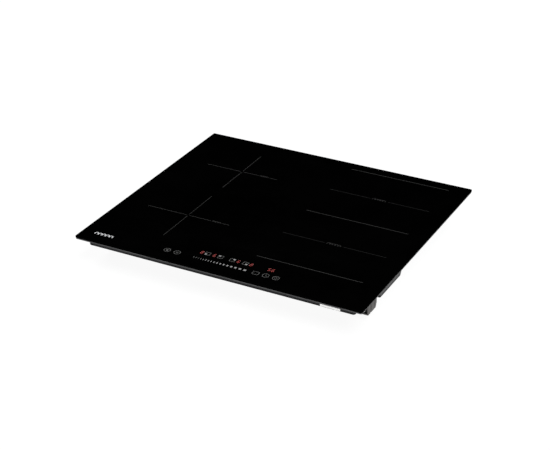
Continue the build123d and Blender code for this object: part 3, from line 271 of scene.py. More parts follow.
def rubbery(name, colour, roughness, pores=1500, relief=0.06 * MM):
    """Soft matt surface with small closed pores, with painted shade in them."""
    s = Shader(name, roughness, specular=0.25)
    pore = s.cells(pores)
    base = s.fade(s.noise(40), shade(colour, 0.8), shade(colour, 1.2))
    # painted shade: the colour darkens towards each pore's centre
    s.colour(s.mix(s.ramp(pore, (0.0, 0.5), (0.5, 0.0)), base, shade(colour, 0.5)))
    s.roughness(s.noise(200, detail=2), roughness - 0.08, roughness + 0.08)
    s.bump(pore, relief)
    return s.material


def ceramic(name, colour, scale=500):
    """Sintered or pressed mineral with a granular tone."""
    s = Shader(name, 0.6, specular=0.35)
    grain = s.noise(scale, detail=5, roughness=0.7)
    s.colour(s.fade(grain, shade(colour, 0.7), shade(colour, 1.25)))
    s.roughness(grain, 0.5, 0.7)
    s.bump(grain, 0.04 * MM)
    return s.material


def circuit(name, colour):
    """Solder mask with the shadow of copper tracks below it."""
    s = Shader(name, 0.32)
    tracks = s.ramp(s.waves(60, distortion=6.0), (0.46, 0.0), (0.54, 1.0))
    s.colour(s.mix(tracks, shade(colour, 0.7), shade(colour, 1.35)))
    s.roughness(s.noise(300, detail=2), 0.28, 0.4)
    s.bump(tracks, 0.03 * MM)
    return s.material


def black_glass(name):
    """Polished glass-ceramic, black in the mass, with faint wipe marks."""
    s = Shader(name, 0.05, specular=0.45)
    s.bsdf.inputs["IOR"].default_value = 1.52
    s.colour(s.fade(s.noise(9), 0.0001, 0.0004))
    wipe = s.noise(1.0, detail=4, place=s.stretched(6, 22, 6))
    s.roughness(wipe, 0.035, 0.075)
    return s.material


def ground_edge(name):
    """Ground edge of the glass: matt and black, with fine grinding lines along it."""
    s = Shader(name, 0.6, specular=0.0)
    lines = s.noise(1.0, place=s.stretched(60, 60, 5200))
    s.colour(s.fade(lines, 0.0003, 0.0008))
    s.roughness(lines, 0.5, 0.7)
    s.bump(lines, 0.02 * MM)
    return s.material


def litz(name):
    """Varnished copper strands, wound tightly."""
    s = Shader(name, 0.36, metallic=0.85)
    strands = s.noise(1.0, place=s.stretched(900, 900, 3200))
    s.colour(s.fade(strands, (0.30, 0.11, 0.045), (0.72, 0.34, 0.16)))
    s.roughness(strands, 0.28, 0.5)
    s.bump(strands, 0.1 * MM)
    return s.material


def frame_paint_with_painted_shade(name):
    """Black paint on the upper frame, with painted shade darkening its turned lower edge."""
    s = Shader(name, 0.5, specular=0.08)
    wall = s.fade(s.noise(18), (0.017, 0.017, 0.018), (0.023, 0.023, 0.024))
    # painted shade: near black below the band, where the turned edge faces down
    height = s.spread(s.axis("Z"), *FRAME_SHADE_BAND)
    s.colour(s.mix(height, (0.003, 0.003, 0.003), wall))
    s.roughness(s.noise(140), 0.45, 0.58)
    s.bump(s.noise(900, detail=2), 0.03 * MM)
    return s.material


def paper_label(name):
    """Pale paper with its fibres just seen."""
    s = Shader(name, 0.55, specular=0.3)
    fibre = s.noise(1800, detail=4)
    s.colour(s.fade(fibre, (0.80, 0.80, 0.79), (0.88, 0.88, 0.87)))
    s.roughness(s.noise(500, detail=2), 0.5, 0.65)
    s.bump(fibre, 0.01 * MM)
    return s.material


def printed(name, colour, specular=0.35):
    """Screen-printed enamel fired on the glass: dense dots, slightly uneven."""
    s = Shader(name, 0.45, specular=specular)
    s.colour(s.ramp(s.cells(3000), (0.2, colour), (0.9, shade(colour, 0.72))))
    s.roughness(s.noise(900, detail=2), 0.38, 0.55)
    return s.material


def glowing(name, colour, strength):
    """Light shining through the glass."""
    s = Shader(name, 0.3)
    level = s.noise(700, detail=2)
    s.colour(s.fade(level, shade(colour, 0.2), shade(colour, 0.25)))
    s.links.new(s.fade(level, shade(colour, 0.8), colour), s.bsdf.inputs["Emission Color"])
    s.bsdf.inputs["Emission Strength"].default_value = strength
    return s.material


# For each look: the function that makes it, and that function's values
LOOKS = {
    "black_glass": (black_glass, {}),
    "glass_edge": (ground_edge, {}),
    "seal_foam": (
        rubbery,
        dict(colour=(0.058, 0.058, 0.059), roughness=0.85, pores=900, relief=0.15 * MM),
    ),
    "silicone_bead": (rubbery, dict(colour=(0.04, 0.04, 0.04), roughness=0.5, pores=400)),
    "frame_black": (frame_paint_with_painted_shade, {}),
    "label_white": (paper_label, {}),
    "pan_galvanised": (galvanised, {}),
    "zinc_screw": (zinc, {}),
    "clamp_plastic": (moulded, dict(colour=(0.060, 0.058, 0.056), specular=0.1)),
    # side outlets: painted shade darkens their lower edge
    "outlet_plastic": (
        moulded,
        dict(colour=(0.048, 0.048, 0.049), roughness=0.52, specular=0.1, shade_band=OUTLET_SHADE_BAND),
    ),
    "gland_plastic": (
        moulded,
        dict(colour=(0.028, 0.028, 0.028), roughness=0.48, specular=0.15),
    ),
    "white_nylon": (moulded, dict(colour=(0.72, 0.70, 0.64))),
    "terminal_plastic": (moulded, dict(colour=(0.58, 0.56, 0.48))),
    "brass_part": (machined, dict(colour=(0.72, 0.52, 0.22), roughness=0.3)),
    "board_green": (circuit, dict(colour=(0.02, 0.16, 0.06))),
    "alloy": (machined, dict(colour=(0.66, 0.67, 0.68), roughness=0.34)),
    "device_black": (moulded, dict(colour=(0.02, 0.02, 0.022), roughness=0.55, grain=2600)),
    "film_yellow": (moulded, dict(colour=(0.60, 0.38, 0.04), roughness=0.35)),
    "copper_litz": (litz, {}),
    "ferrite": (ceramic, dict(colour=(0.05, 0.05, 0.055))),
    "mica": (ceramic, dict(colour=(0.50, 0.44, 0.34), scale=260)),
    "coil_plastic": (moulded, dict(colour=(0.045, 0.045, 0.047))),
    "silicone_grey": (rubbery, dict(colour=(0.30, 0.31, 0.32), roughness=0.6)),
    "light_guide": (moulded, dict(colour=(0.75, 0.77, 0.77), roughness=0.3)),
    "display_black": (moulded, dict(colour=(0.03, 0.01, 0.01), roughness=0.25)),
    "cable_grey": (moulded, dict(colour=(0.34, 0.34, 0.35))),
    "lead_white": (rubbery, dict(colour=(0.70, 0.68, 0.66), roughness=0.55)),
    "lead_brown": (rubbery, dict(colour=(0.22, 0.10, 0.05), roughness=0.5)),
    "fan_black": (moulded, dict(colour=(0.02, 0.02, 0.022), roughness=0.45)),
    "relay_blue": (moulded, dict(colour=(0.04, 0.09, 0.30), roughness=0.35)),
    "transformer_tape": (moulded, dict(colour=(0.60, 0.46, 0.06), roughness=0.4)),
    "sheet_clear": (moulded, dict(colour=(0.55, 0.57, 0.57), roughness=0.25)),
    "print_light": (printed, dict(colour=(0.60, 0.61, 0.62))),
    "print_mid": (printed, dict(colour=(0.19, 0.19, 0.19))),
    "print_grey": (printed, dict(colour=(0.054, 0.054, 0.053))),
    "print_dim": (printed, dict(colour=(0.11, 0.11, 0.11))),
    "print_line": (printed, dict(colour=(0.026, 0.026, 0.0255), specular=0.08)),
    "print_cross": (printed, dict(colour=(0.018, 0.018, 0.0175), specular=0.08)),
    "print_faint": (printed, dict(colour=(0.009, 0.009, 0.009), specular=0.04)),
    "led_red": (glowing, dict(colour=(1.0, 0.12, 0.11), strength=0.20)),
}
MATERIALS = {name: make(name, **values) for name, (make, values) in LOOKS.items()}


def dress(obj, look):
    """Give an object one of the looks."""
    obj.data.materials.clear()
    obj.data.materials.append(MATERIALS[look])


for node, obj in frame["nodes"].items():
    dress(obj, SLOT_OF[node])


# Forms that follow a rounded rectangle

QUARTERS = ((1, 1), (-1, 1), (-1, -1), (1, -1))
CORNER_STEPS = 8
LEAST_CORNER = 0.3 * MM


def outline(half_x, half_y, corner, steps):
    """Points of a rounded rectangle round the origin, anticlockwise."""
    points = []
    for quarter, (side_x, side_y) in enumerate(QUARTERS):
        for k in range(steps + 1):
            turn = math.radians(90 * quarter + 90 * k / steps)
            x = side_x * (half_x - corner) + corner * math.cos(turn)
            y = side_y * (half_y - corner) + corner * math.sin(turn)
            points.append((x, y))
    return points


def placed(name, data):
    """A new object in the scene."""
    obj = bpy.data.objects.new(name, data)
    bpy.context.scene.collection.objects.link(obj)
    return obj


def made(name, mesh):
    """The finished form as a piece, with its normals outwards."""
    bmesh.ops.recalc_face_normals(mesh, faces=mesh.faces)
    data = bpy.data.meshes.new(name)
    mesh.to_mesh(data)
    mesh.free()
    return placed(name, data)


def plate_form(name, half_x, half_y, corner, profile, ring=False):
    """A plate, or a ring, whose edge has the given profile of (inset, height) points."""
    mesh = bmesh.new()
    rows = []
    for inset, z in profile:
        round_by = max(corner - inset, LEAST_CORNER)
        points = outline(half_x - inset, half_y - inset, round_by, CORNER_STEPS)
        rows.append([mesh.verts.new((x, y, z)) for x, y in points])
    pairs = list(zip(rows, rows[1:]))
    if ring:
        pairs.append((rows[-1], rows[0]))
    for upper, lower in pairs:
        for i in range(len(upper)):
            j = (i + 1) % len(upper)
            mesh.faces.new((upper[i], lower[i], lower[j], upper[j])).smooth = True
    if not ring:
        for face in (mesh.faces.new(rows[0]), mesh.faces.new(rows[-1][::-1])):
            for edge in face.edges:
                edge.smooth = False
    return made(name, mesh)


def arc_points(inset, height, radius, start, end, steps=5):
    """Profile points on an arc round (inset, height)."""
    turns = [math.radians(start + (end - start) * k / steps) for k in range(steps + 1)]
    return [(inset - radius * math.cos(t), height + radius * math.sin(t)) for t in turns]


GLASS_CORNER = 3.0 * MM
TOP_ARRIS = 0.7 * MM
LOW_ARRIS = 0.5 * MM
SEAL_CORNER = 3.0 * MM
SEAL_W = 8.0 * MM
SEAL_SOFT = 0.9 * MM


def glass():
    """The plate: a polished top face, and a ground edge with rounded arrises."""
    profile = arc_points(TOP_ARRIS, GLASS_FACE - TOP_ARRIS, TOP_ARRIS, 90, 0)
    profile += arc_points(LOW_ARRIS, GLASS_LOW.z + LOW_ARRIS, LOW_ARRIS, 0, -90, 3)
    piece = plate_form("glass_top", GLASS_HIGH.x, GLASS_HIGH.y, GLASS_CORNER, profile)
    dress(piece, "black_glass")
    piece.data.materials.append(MATERIALS["glass_edge"])
    for face in piece.data.polygons:
        flat_top = len(face.vertices) > 4 and face.normal.z > 0.5
        face.material_index = 0 if flat_top else 1
    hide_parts("glass_plate")
    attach(piece, ROOT)


def seal():
    """Foam seal under the glass's edge, with soft rounded lower corners."""
    low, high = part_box("glass_seal")
    soft = SEAL_SOFT
    profile = [(0.0, high.z)] + arc_points(soft, low.z + soft, soft, 0, -90)
    profile += arc_points(SEAL_W - soft, low.z + soft, soft, -90, -180) + [(SEAL_W, high.z)]
    piece = plate_form("foam_seal", high.x, high.y, SEAL_CORNER, profile, ring=True)
    dress(piece, "seal_foam")
    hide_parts("glass_seal")
    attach(piece, ROOT)


glass()
seal()


# Screws and gland


class Turned:
    """A form whose rows share their angles, each row giving its radius at an angle."""

    def __init__(self, name, place, angles):
        self.name = name
        self.place = place
        self.angles = angles
        self.mesh = bmesh.new()
        self.rows = []

    def row(self, height, radius):
        """Add a row; the radius is a function of the angle in degrees, or a number."""
        verts = []
        for angle in self.angles:
            r = radius(angle) if callable(radius) else radius
            t = math.radians(angle)
            verts.append(self.mesh.verts.new(self.place(r * math.cos(t), r * math.sin(t), height)))
        self.rows.append(verts)

    def finish(self, node, slot, closed=False):
        """Join the rows; the ends are capped, or joined to each other when closed."""
        pairs = list(zip(self.rows, self.rows[1:]))
        if closed:
            pairs.append((self.rows[-1], self.rows[0]))
        else:
            for verts in (self.rows[0], self.rows[-1]):
                middle = sum((v.co for v in verts), Vector()) / len(verts)
                centre = self.mesh.verts.new(middle)
                for i, vert in enumerate(verts):
                    self.mesh.faces.new((vert, verts[(i + 1) % len(verts)], centre))
        for low, high in pairs:
            for i in range(len(low)):
                j = (i + 1) % len(low)
                self.mesh.faces.new((low[i], low[j], high[j], high[i]))
        piece = made(self.name, self.mesh)
        dress(piece, slot)
        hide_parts(node)
        return piece


HEAD_T = 3.4 * MM
HEAD_EDGE = 0.4 * MM
SHANK_R = 2.5 * MM
TIP = 1.2 * MM
THREAD_PITCH = 1.5 * MM
THREAD_DEPTH = 0.45 * MM
THREAD_STEPS = 6  # rows for each turn of the thread
RECESS_DEPTH = 1.8 * MM
RECESS_HALF_L = 2.5  # millimetres
RECESS_HALF_W = 0.6  # millimetres
# 13.496 and 76.504 degrees are the corners of the recess's arms
QUARTER_ANGLES = (0.0, 7.0, 13.496, 24.0, 35.0, 45.0, 55.0, 66.0, 76.504, 83.0)
SCREW_ANGLES = [90.0 * q + a for q in range(4) for a in QUARTER_ANGLES]
NEARLY_ZERO = 1e-9


def recess_radius(angle):
    """Reach of the cross-shaped recess at an angle."""
    t = math.radians(angle)
    x = max(abs(math.cos(t)), NEARLY_ZERO)
    y = max(abs(math.sin(t)), NEARLY_ZERO)
    lying = min(RECESS_HALF_L / x, RECESS_HALF_W / y)
    standing = min(RECESS_HALF_W / x, RECESS_HALF_L / y)
    return max(lying, standing) * MM


def thread_radius(outer, height):
    """Radius of a threaded shank at a height, as a function of the angle."""

    def at(angle):
        turn = (height / THREAD_PITCH - angle / 360.0) % 1.0
        return outer - THREAD_DEPTH * abs(2.0 * turn - 1.0)

    return at


def clamp_screw(side):
    """Clamp screw with a cross in its head and a rolled thread."""
    node = "clamp_screw_" + side
    low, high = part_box(node)
    middle = (low + high) / 2
    head_r = (high.x - low.x) / 2

    def place(x, y, z):
        return (middle.x + x, middle.y + y, z)

    form = Turned("threaded_" + node, place, SCREW_ANGLES)
    form.row(low.z + RECESS_DEPTH, recess_radius)
    form.row(low.z, recess_radius)
    form.row(low.z, head_r - HEAD_EDGE)
    form.row(low.z + HEAD_EDGE, head_r)
    form.row(low.z + HEAD_T - HEAD_EDGE, head_r)
    form.row(low.z + HEAD_T, head_r - HEAD_EDGE)
    start = low.z + HEAD_T
    end = high.z - TIP
    count = round((end - start) / THREAD_PITCH * THREAD_STEPS)
    for i in range(count + 1):
        z = start + (end - start) * i / count
        form.row(z, thread_radius(SHANK_R, z))
    form.row(high.z, SHANK_R - THREAD_DEPTH - HEAD_EDGE)
    piece = form.finish(node, "zinc_screw")
    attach(piece, "clamp_lift_" + side)


# Gland: lengths in millimetres, angles in degrees
BORE_R = 5.5
BORE_EDGE = 0.4
RIB_DEPTH = 0.7
RIB_COUNT = 12
GLAND_ANGLES = [5.0 * i for i in range(72)]
ROUND, HEXAGON, RIBBED = range(3)
# Distance from the inner end, radius and shape of each row
GLAND_PROFILE = (
    (0.0, 8.0, ROUND),
    (2.5, 8.0, ROUND),
    (2.5, 11.0, HEXAGON),
    (7.0, 11.0, HEXAGON),
    (7.0, 8.0, ROUND),
    (8.0, 8.0, ROUND),
    (8.0, 10.7, ROUND),
    (8.3, 11.0, ROUND),
    (10.7, 11.0, ROUND),
    (11.0, 10.7, ROUND),
    (11.0, 10.0, ROUND),
    (11.6, 10.0, RIBBED),
    (20.5, 9.0, RIBBED),
    (21.5, 8.5, ROUND),
    (23.2, 7.6, ROUND),
    (24.0, 6.4, ROUND),
)


def gland_radius(radius, shape):
    """Radius of a row of the gland, as a function of the angle."""

    def at(angle):
        if shape == HEXAGON:
            off = math.radians((angle + 30.0) % 60.0 - 30.0)
            return radius * math.cos(math.radians(30.0)) / math.cos(off) * MM
        if shape == RIBBED:
            wave = 0.5 - 0.5 * math.cos(math.radians(angle * RIB_COUNT))
            return (radius - RIB_DEPTH * wave**3) * MM
        return radius * MM

    return at


def gland():
    """Cable gland with a hexagon nut inside the pan and a ribbed dome outside."""
    low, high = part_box("cable_gland")
    middle = (low + high) / 2

    def place(x, z, y):
        return (middle.x + x, low.y + y, middle.z + z)

    form = Turned("ribbed_gland", place, GLAND_ANGLES)
    for y, radius, shape in GLAND_PROFILE:
        form.row(y * MM, gland_radius(radius, shape))
    end = GLAND_PROFILE[-1][0]
    form.row(end * MM, (BORE_R + BORE_EDGE) * MM)
    form.row((end - BORE_EDGE) * MM, BORE_R * MM)
    form.row(BORE_EDGE * MM, BORE_R * MM)
    form.row(0.0, (BORE_R + BORE_EDGE) * MM)
    piece = form.finish("cable_gland", "gland_plastic", closed=True)
    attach(piece, ROOT)


for side in ("right", "left"):
    clamp_screw(side)
gland()


# Prints on the glass: all sizes and places are in millimetres

BOX_STEPS = 5
LEAST_MITRE = 0.5


class Print:
    """Flat closed shapes set into the glass face, gathered into one piece."""

    def __init__(self):
        self.mesh = bmesh.new()

    def row(self, points):
        """The points' vertices, below the glass face and at the top."""
        low = [self.mesh.verts.new((x * MM, y * MM, GLASS_FACE - PRINT_SINK)) for x, y in points]
        high = [self.mesh.verts.new((x * MM, y * MM, GLASS_TOP)) for x, y in points]
        return low, high

    def area(self, points):
        """A filled convex outline, given anticlockwise."""
        low, high = self.row(points)
        self.mesh.faces.new(high)
        self.mesh.faces.new(low[::-1])
        for i in range(len(points)):
            j = (i + 1) % len(points)
            self.mesh.faces.new((low[i], low[j], high[j], high[i]))

    def bar(self, x0, x1, y0, y1):
        """A filled rectangle."""
        self.area(((x0, y0), (x1, y0), (x1, y1), (x0, y1)))

    def line(self, points, width, closed=False):
        """A line of even width through the points, mitred at its corners."""
        count = len(points)
        left = []
        right = []
        for i in range(count):
            here = Vector(points[i])
            ahead = Vector(points[(i + 1) % count]) if closed or i < count - 1 else None
            behind = Vector(points[i - 1]) if closed or i > 0 else None
            out = (ahead - here).normalized() if ahead else (here - behind).normalized()
            come = (here - behind).normalized() if behind else out
            normal = Vector((-(out.y + come.y), out.x + come.x)).normalized()
            reach = width / 2 / max(LEAST_MITRE, normal.dot(Vector((-out.y, out.x))))
            left.append(here + normal * reach)
            right.append(here - normal * reach)
        left_low, left_high = self.row(left)
        right_low, right_high = self.row(right)
        last = count if closed else count - 1
        for i in range(last):
            j = (i + 1) % count
            self.mesh.faces.new((right_high[i], right_high[j], left_high[j], left_high[i]))
            self.mesh.faces.new((left_low[i], left_low[j], right_low[j], right_low[i]))
            self.mesh.faces.new((left_high[i], left_high[j], left_low[j], left_low[i]))
            self.mesh.faces.new((right_low[i], right_low[j], right_high[j], right_high[i]))
        if not closed:
            self.mesh.faces.new((left_low[0], right_low[0], right_high[0], left_high[0]))
            self.mesh.faces.new((left_high[-1], right_high[-1], right_low[-1], left_low[-1]))

    def arc(self, x, y, radius, width, start=0.0, end=360.0, steps=40):
        """Part of a ring, or the whole one."""
        closed = end - start >= 360.0
        count = steps if closed else steps + 1
        turns = [math.radians(start + (end - start) * i / steps) for i in range(count)]
        points = [(x + radius * math.cos(t), y + radius * math.sin(t)) for t in turns]
        self.line(points, width, closed)

    def box_line(self, x, y, half_w, half_d, corner, width):
        """Outline of a rounded rectangle round a point."""
        points = outline(half_w, half_d, corner, BOX_STEPS)
        self.line([(x + px, y + py) for px, py in points], width, True)

    def finish(self, name, slot, look=None):
        """The piece; its look is the slot's own, unless another is named."""
        piece = made(name, self.mesh)
        dress(piece, look or slot)
        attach(piece, ROOT)


# Coil marks beside the zone lines: a row of open loops in place of words
LABEL_LOOPS = 5
LABEL_FILL = 1.6  # the loops' pitch over their radius
LABEL_LINE = 0.7
LABEL_ARC = (-45.0, 225.0)
LABEL_STEPS = 14

# The two crosses: y of the middle, half length, and x where the coil mark starts
CROSS_X = -149.0
CROSSES = ((-92.0, 90.0, -97.0), (121.0, 80.0, -109.0))
CROSS_LINE = 0.9
CROSS_GAP = 3.5
CROSS_LABEL_LEN = 21.0
CROSS_LABEL_GAP = 2.0

# The flexible area: its bounds, and the middle lines that carry a coil mark
FLEX_X0 = 43.5
FLEX_X1 = 255.5
FLEX_BOUNDS = (234.0, 30.7, -171.0)
FLEX_MIDDLES = (132.5, -70.0)
FLEX_LINE = 1.0
FLEX_LABEL = (134.0, 166.0)
FLEX_LABEL_GAP = 2.5


def zone_label(prints, x0, x1, y):
    """A plain coil mark from x0 to x1."""
    parts = LABEL_LOOPS + 1
    radius = (x1 - x0) / parts / LABEL_FILL
    for i in range(LABEL_LOOPS):
        x = x0 + (x1 - x0) * (i + 1) / parts
        prints.arc(x, y, radius, LABEL_LINE, *LABEL_ARC, LABEL_STEPS)


def zone_crosses():
    """Crosses of the two round zones, open in the middle and round their coil marks."""
    prints = Print()
    for y, half, label_x in CROSSES:
        before = label_x - CROSS_LABEL_GAP
        after = label_x + CROSS_LABEL_LEN + CROSS_LABEL_GAP
        prints.line(((CROSS_X - half, y), (CROSS_X - CROSS_GAP, y)), CROSS_LINE)
        prints.line(((CROSS_X + CROSS_GAP, y), (before, y)), CROSS_LINE)
        prints.line(((after, y), (CROSS_X + half, y)), CROSS_LINE)
        prints.line(((CROSS_X, y - half), (CROSS_X, y - CROSS_GAP)), CROSS_LINE)
        prints.line(((CROSS_X, y + CROSS_GAP), (CROSS_X, y + half)), CROSS_LINE)
    prints.finish("zone_crosses", "print_grey", "print_cross")


def flex_area_lines():
    """Lines that bound the two halves of the flexible area."""
    prints = Print()
    for y in FLEX_BOUNDS:
        prints.line(((FLEX_X0, y), (FLEX_X1, y)), FLEX_LINE)
    prints.finish("flex_area_lines", "print_grey", "print_line")


def flex_middle_lines():
    """Fainter lines along the middle of each half, open round their coil marks."""
    prints = Print()
    for y in FLEX_MIDDLES:
        prints.line(((FLEX_X0, y), (FLEX_LABEL[0] - FLEX_LABEL_GAP, y)), FLEX_LINE)
        prints.line(((FLEX_LABEL[1] + FLEX_LABEL_GAP, y), (FLEX_X1, y)), FLEX_LINE)
    prints.finish("flex_middle_lines", "print_grey", "print_faint")


def zone_labels():
    """The coil marks of all four zones."""
    prints = Print()
    for y, _, label_x in CROSSES:
        zone_label(prints, label_x, label_x + CROSS_LABEL_LEN, y)
    for y in FLEX_MIDDLES:
        zone_label(prints, *FLEX_LABEL, y)
    prints.finish("zone_labels", "print_grey", "print_line")


COIL_SIGN_X = -264.0
COIL_SIGN_Y = -233.0
COIL_SIGN_PITCH = 8.0
COIL_SIGN_LOOPS = 5
COIL_SIGN_R = 3.6
COIL_SIGN_LINE = 1.3
COIL_SIGN_ARC = (-50.0, 230.0)
COIL_SIGN_STEPS = 18


def coil_sign():
    """A row of coil loops at the front left."""
    prints = Print()
    for i in range(COIL_SIGN_LOOPS):
        x = COIL_SIGN_X + COIL_SIGN_PITCH * i
        prints.arc(x, COIL_SIGN_Y, COIL_SIGN_R, COIL_SIGN_LINE, *COIL_SIGN_ARC, COIL_SIGN_STEPS)
    prints.finish("coil_sign", "print_light")


KEY_Y = -227.0
KEY_RING = 6.1
KEY_LINE = 0.8

# Signs on the keys: heights are above the key's middle
LOCK_HALF_W = 2.0
LOCK_LOW = -2.8
LOCK_HIGH = 0.2
SHACKLE_R = 1.5
SHACKLE_LINE = 0.6
SHACKLE_MIDDLE = 0.4
SHACKLE_STEPS = 12
PAUSE_SHIFT = 1.3
PAUSE_HALF_W = 0.4
PAUSE_HALF_H = 2.6
JOIN_HALF_W = 6.2
JOIN_HALF_H = 4.8
JOIN_CORNER = 2.2
JOIN_MIDDLE = -0.4
CLOCK_LINE = 0.6
CLOCK_LONG_HAND = (0.0, 3.6)
CLOCK_SHORT_HAND = (2.6, -1.6)
POWER_R = 2.6
POWER_LINE = 0.5
POWER_MIDDLE = -0.3
POWER_ARC = (130.0, 410.0)
POWER_STEPS = 24
STROKE_HALF_W = 0.3
STROKE_LOW = 0.4
STROKE_HIGH = 3.4


def lock_sign(prints, x):
    """A padlock."""
    prints.bar(x - LOCK_HALF_W, x + LOCK_HALF_W, KEY_Y + LOCK_LOW, KEY_Y + LOCK_HIGH)
    middle = KEY_Y + SHACKLE_MIDDLE
    prints.arc(x, middle, SHACKLE_R, SHACKLE_LINE, 0.0, 180.0, SHACKLE_STEPS)


def pause_sign(prints, x):
    """Two upright bars."""
    low = KEY_Y - PAUSE_HALF_H
    high = KEY_Y + PAUSE_HALF_H
    for shift in (-PAUSE_SHIFT, PAUSE_SHIFT):
        prints.bar(x + shift - PAUSE_HALF_W, x + shift + PAUSE_HALF_W, low, high)


def join_sign(prints, x):
    """A rounded frame, for two zones used as one."""
    prints.box_line(x, KEY_Y + JOIN_MIDDLE, JOIN_HALF_W, JOIN_HALF_H, JOIN_CORNER, KEY_LINE)


def clock_sign(prints, x):
    """Two clock hands."""
    tips = [(x + dx, KEY_Y + dy) for dx, dy in (CLOCK_LONG_HAND, CLOCK_SHORT_HAND)]
    prints.line((tips[0], (x, KEY_Y), tips[1]), CLOCK_LINE)


def power_sign(prints, x):
    """An open ring with an upright stroke."""
    prints.arc(x, KEY_Y + POWER_MIDDLE, POWER_R, POWER_LINE, *POWER_ARC, POWER_STEPS)
    prints.bar(x - STROKE_HALF_W, x + STROKE_HALF_W, KEY_Y + STROKE_LOW, KEY_Y + STROKE_HIGH)


# x of each key, its sign, and whether a ring goes round it
KEYS = (
    (-112.5, lock_sign, True),
    (-91.7, pause_sign, True),
    (71.7, join_sign, False),
    (91.7, clock_sign, True),
    (112.2, power_sign, True),
)


def touch_keys():
    """The five keys of the control strip."""
    prints = Print()
    for x, sign, ringed in KEYS:
        if ringed:
            prints.arc(x, KEY_Y, KEY_RING, KEY_LINE)
        sign(prints, x)
    prints.finish("touch_key_prints", "print_grey")


TICKS = 17
TICK_X = -56.0
TICK_Y = KEY_Y - 0.5
TICK_HALF_H = 2.3
TICK_NARROW = 0.5
TICK_WIDE = 5.2
TICK_PITCH = 4.9
TICK_PITCH_GROWTH = 5.6
# Each group's piece, the number of its last tick, its slot and its look
TICK_GROUPS = (
    ("slider_ticks_low", 3, "print_grey", "print_dim"),
    ("slider_ticks_high", TICKS, "print_light", "print_mid"),
)


def slider_ticks():
    """The power slider: ticks that widen, brighten and stand further apart to the right."""
    x = TICK_X
    i = 0
    for name, last, slot, look in TICK_GROUPS:
        prints = Print()
        while i < last:
            share = i / (TICKS - 1)
            half = (TICK_NARROW + (TICK_WIDE - TICK_NARROW) * share**2) / 2
            prints.bar(x - half, x + half, TICK_Y - TICK_HALF_H, TICK_Y + TICK_HALF_H)
            x += TICK_PITCH + TICK_PITCH_GROWTH * share**2
            i += 1
        prints.finish(name, slot, look)


ROW_Y = -205.5
# x of each zone sign, and the corner that its patch fills
ZONE_SIGNS = ((-39.3, -1, -1), (-12.3, -1, 1), (12.3, 1, 1), (39.3, 1, -1))
SIGN_HALF = 4.9
SIGN_CORNER = 1.2
SIGN_LINE = 0.8
PATCH_HALF = 2.0
PATCH_GAP = 0.2


def zone_sign_frames():
    """A small rounded frame for each zone."""
    prints = Print()
    for x, _, _ in ZONE_SIGNS:
        prints.box_line(x, ROW_Y, SIGN_HALF, SIGN_HALF, SIGN_CORNER, SIGN_LINE)
    prints.finish("zone_sign_frames", "print_grey")


def zone_sign_patches():
    """The filled corner that says where the zone is."""
    prints = Print()
    shift = SIGN_HALF - PATCH_HALF - PATCH_GAP
    for x, side, up in ZONE_SIGNS:
        cx = x + side * shift
        cy = ROW_Y + up * shift
        prints.bar(cx - PATCH_HALF, cx + PATCH_HALF, cy - PATCH_HALF, cy + PATCH_HALF)
    prints.finish("zone_sign_patches", "print_light", "print_mid")


# Segments of each figure: a is the top one, b to f follow clockwise, and g is the middle one
SEGMENTS = {
    "5": "acdfg",
    "6": "acdefg",
    "8": "abcdefg",
}
DIGIT_HALF_W = 1.9
DIGIT_HALF_H = 4.2
SEGMENT_W = 0.8
SEGMENT_GAP = 0.35
SLANT = 0.1
ZONE_DIGITS = ((-51.0, "8"), (-25.0, "6"), (25.0, "6"), (51.0, "8"))
TIMER_DIGITS = ((87.9, "5"), (95.5, "6"))


def digit(prints, x, y, figure):
    """One seven-segment figure, leaning slightly."""
    w = DIGIT_HALF_W
    h = DIGIT_HALF_H
    corners = {
        "a": ((-w, h), (w, h)),
        "b": ((w, h), (w, 0)),
        "c": ((w, 0), (w, -h)),
        "d": ((-w, -h), (w, -h)),
        "e": ((-w, -h), (-w, 0)),
        "f": ((-w, 0), (-w, h)),
        "g": ((-w, 0), (w, 0)),
    }
    for name in SEGMENTS[figure]:
        start, end = (Vector(p) for p in corners[name])
        along = (end - start).normalized()
        across = Vector((-along.y, along.x)) * SEGMENT_W / 2
        a = start + along * SEGMENT_GAP
        b = end - along * SEGMENT_GAP
        tip = along * SEGMENT_W / 2
        shape = (a, a + tip - across, b - tip - across, b, b - tip + across, a + tip + across)
        prints.area([(x + p.x + SLANT * p.y, y + p.y) for p in shape])


def lit_digits():
    """The zones' and the timer's digits."""
    prints = Print()
    for x, figure in ZONE_DIGITS + TIMER_DIGITS:
        digit(prints, x, ROW_Y, figure)
    prints.finish("lit_digits", "led_red")


for make in (
    zone_crosses,
    flex_area_lines,
    flex_middle_lines,
    zone_labels,
    coil_sign,
    touch_keys,
    slider_ticks,
    zone_sign_frames,
    zone_sign_patches,
    lit_digits,
):
    make()


# Stage, lights and camera

FLOOR_HALF = 30.0
FLOOR_GLOW = 0.92
# Name, azimuth, elevation, strength and softness of each light, with the angles in degrees
SUNS = (
    ("main_light", 60, 58, 3.4, 40),
    ("low_light", 60, 12, 3.0, 10),
    ("rear_light", 220, 50, 1.5, 24),
)


def direction(azimuth, elevation):
    """Towards an azimuth and elevation in degrees: azimuth 0 is the front, 90 the right."""
    a = math.radians(azimuth)
    e = math.radians(elevation)
    return Vector((math.sin(a) * math.cos(e), -math.cos(a) * math.cos(e), math.sin(e)))


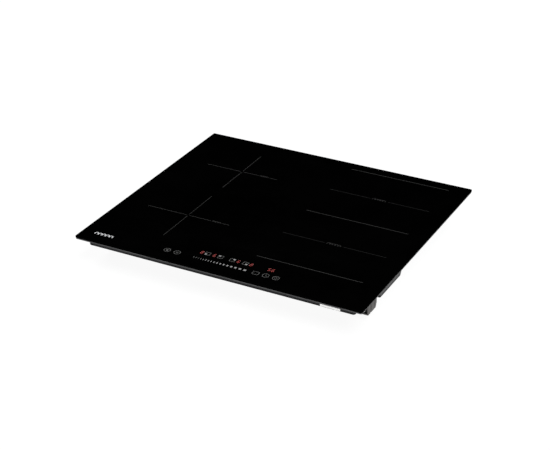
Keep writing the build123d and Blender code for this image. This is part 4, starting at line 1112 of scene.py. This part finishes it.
def floor():
    """A pale floor, low enough to leave room for the clamps at their lowest."""
    data = bpy.data.meshes.new("floor")
    r = FLOOR_HALF
    z = cad_box[0][2] - CLAMP_TRAVEL
    data.from_pydata(((-r, -r, z), (r, -r, z), (r, r, z), (-r, r, z)), [], [(0, 1, 2, 3)])
    plane = placed("floor", data)
    s = Shader("floor_white", 0.9, specular=0.0)
    s.colour(s.fade(s.noise(3, detail=2), 0.08, 0.09))
    s.bsdf.inputs["Emission Color"].default_value = (1, 1, 1, 1)
    s.bsdf.inputs["Emission Strength"].default_value = FLOOR_GLOW
    plane.data.materials.append(s.material)


def sun(name, azimuth, elevation, strength, softness):
    """A soft distant light from the given side."""
    lamp = bpy.data.lights.new(name, "SUN")
    lamp.energy = strength
    lamp.angle = math.radians(softness)
    obj = placed(name, lamp)
    obj.rotation_euler = direction(azimuth, elevation).to_track_quat("Z", "Y").to_euler()


def camera():
    """The camera, at the photo's angle and distance."""
    back = direction(VIEW_AZIMUTH, VIEW_ELEVATION)
    level = (-back).cross(Vector((0, 0, 1))).normalized()
    tilt = level.cross(-back)
    roll = math.radians(VIEW_ROLL)
    right = math.cos(roll) * level + math.sin(roll) * tilt
    up = math.cos(roll) * tilt - math.sin(roll) * level
    aim = Vector((0, 0, GLASS_TOP)) + right * AIM_RIGHT + up * AIM_UP
    data = bpy.data.cameras.new("camera")
    data.lens = LENS
    data.sensor_width = SENSOR
    obj = placed("camera", data)
    turn = Matrix((right, up, back)).transposed().to_4x4()
    obj.matrix_world = Matrix.Translation(aim + back * VIEW_DISTANCE) @ turn
    bpy.context.scene.camera = obj


def studio():
    """A dark world, so that only the lights and the floor show in the glass."""
    world = bpy.data.worlds.new("studio")
    world.use_nodes = True
    background = world.node_tree.nodes["Background"]
    background.inputs["Color"].default_value = (1, 1, 1, 1)
    background.inputs["Strength"].default_value = 0.0
    bpy.context.scene.world = world
    bpy.context.scene.view_settings.view_transform = "Standard"


floor()
for light in SUNS:
    sun(*light)
camera()
studio()
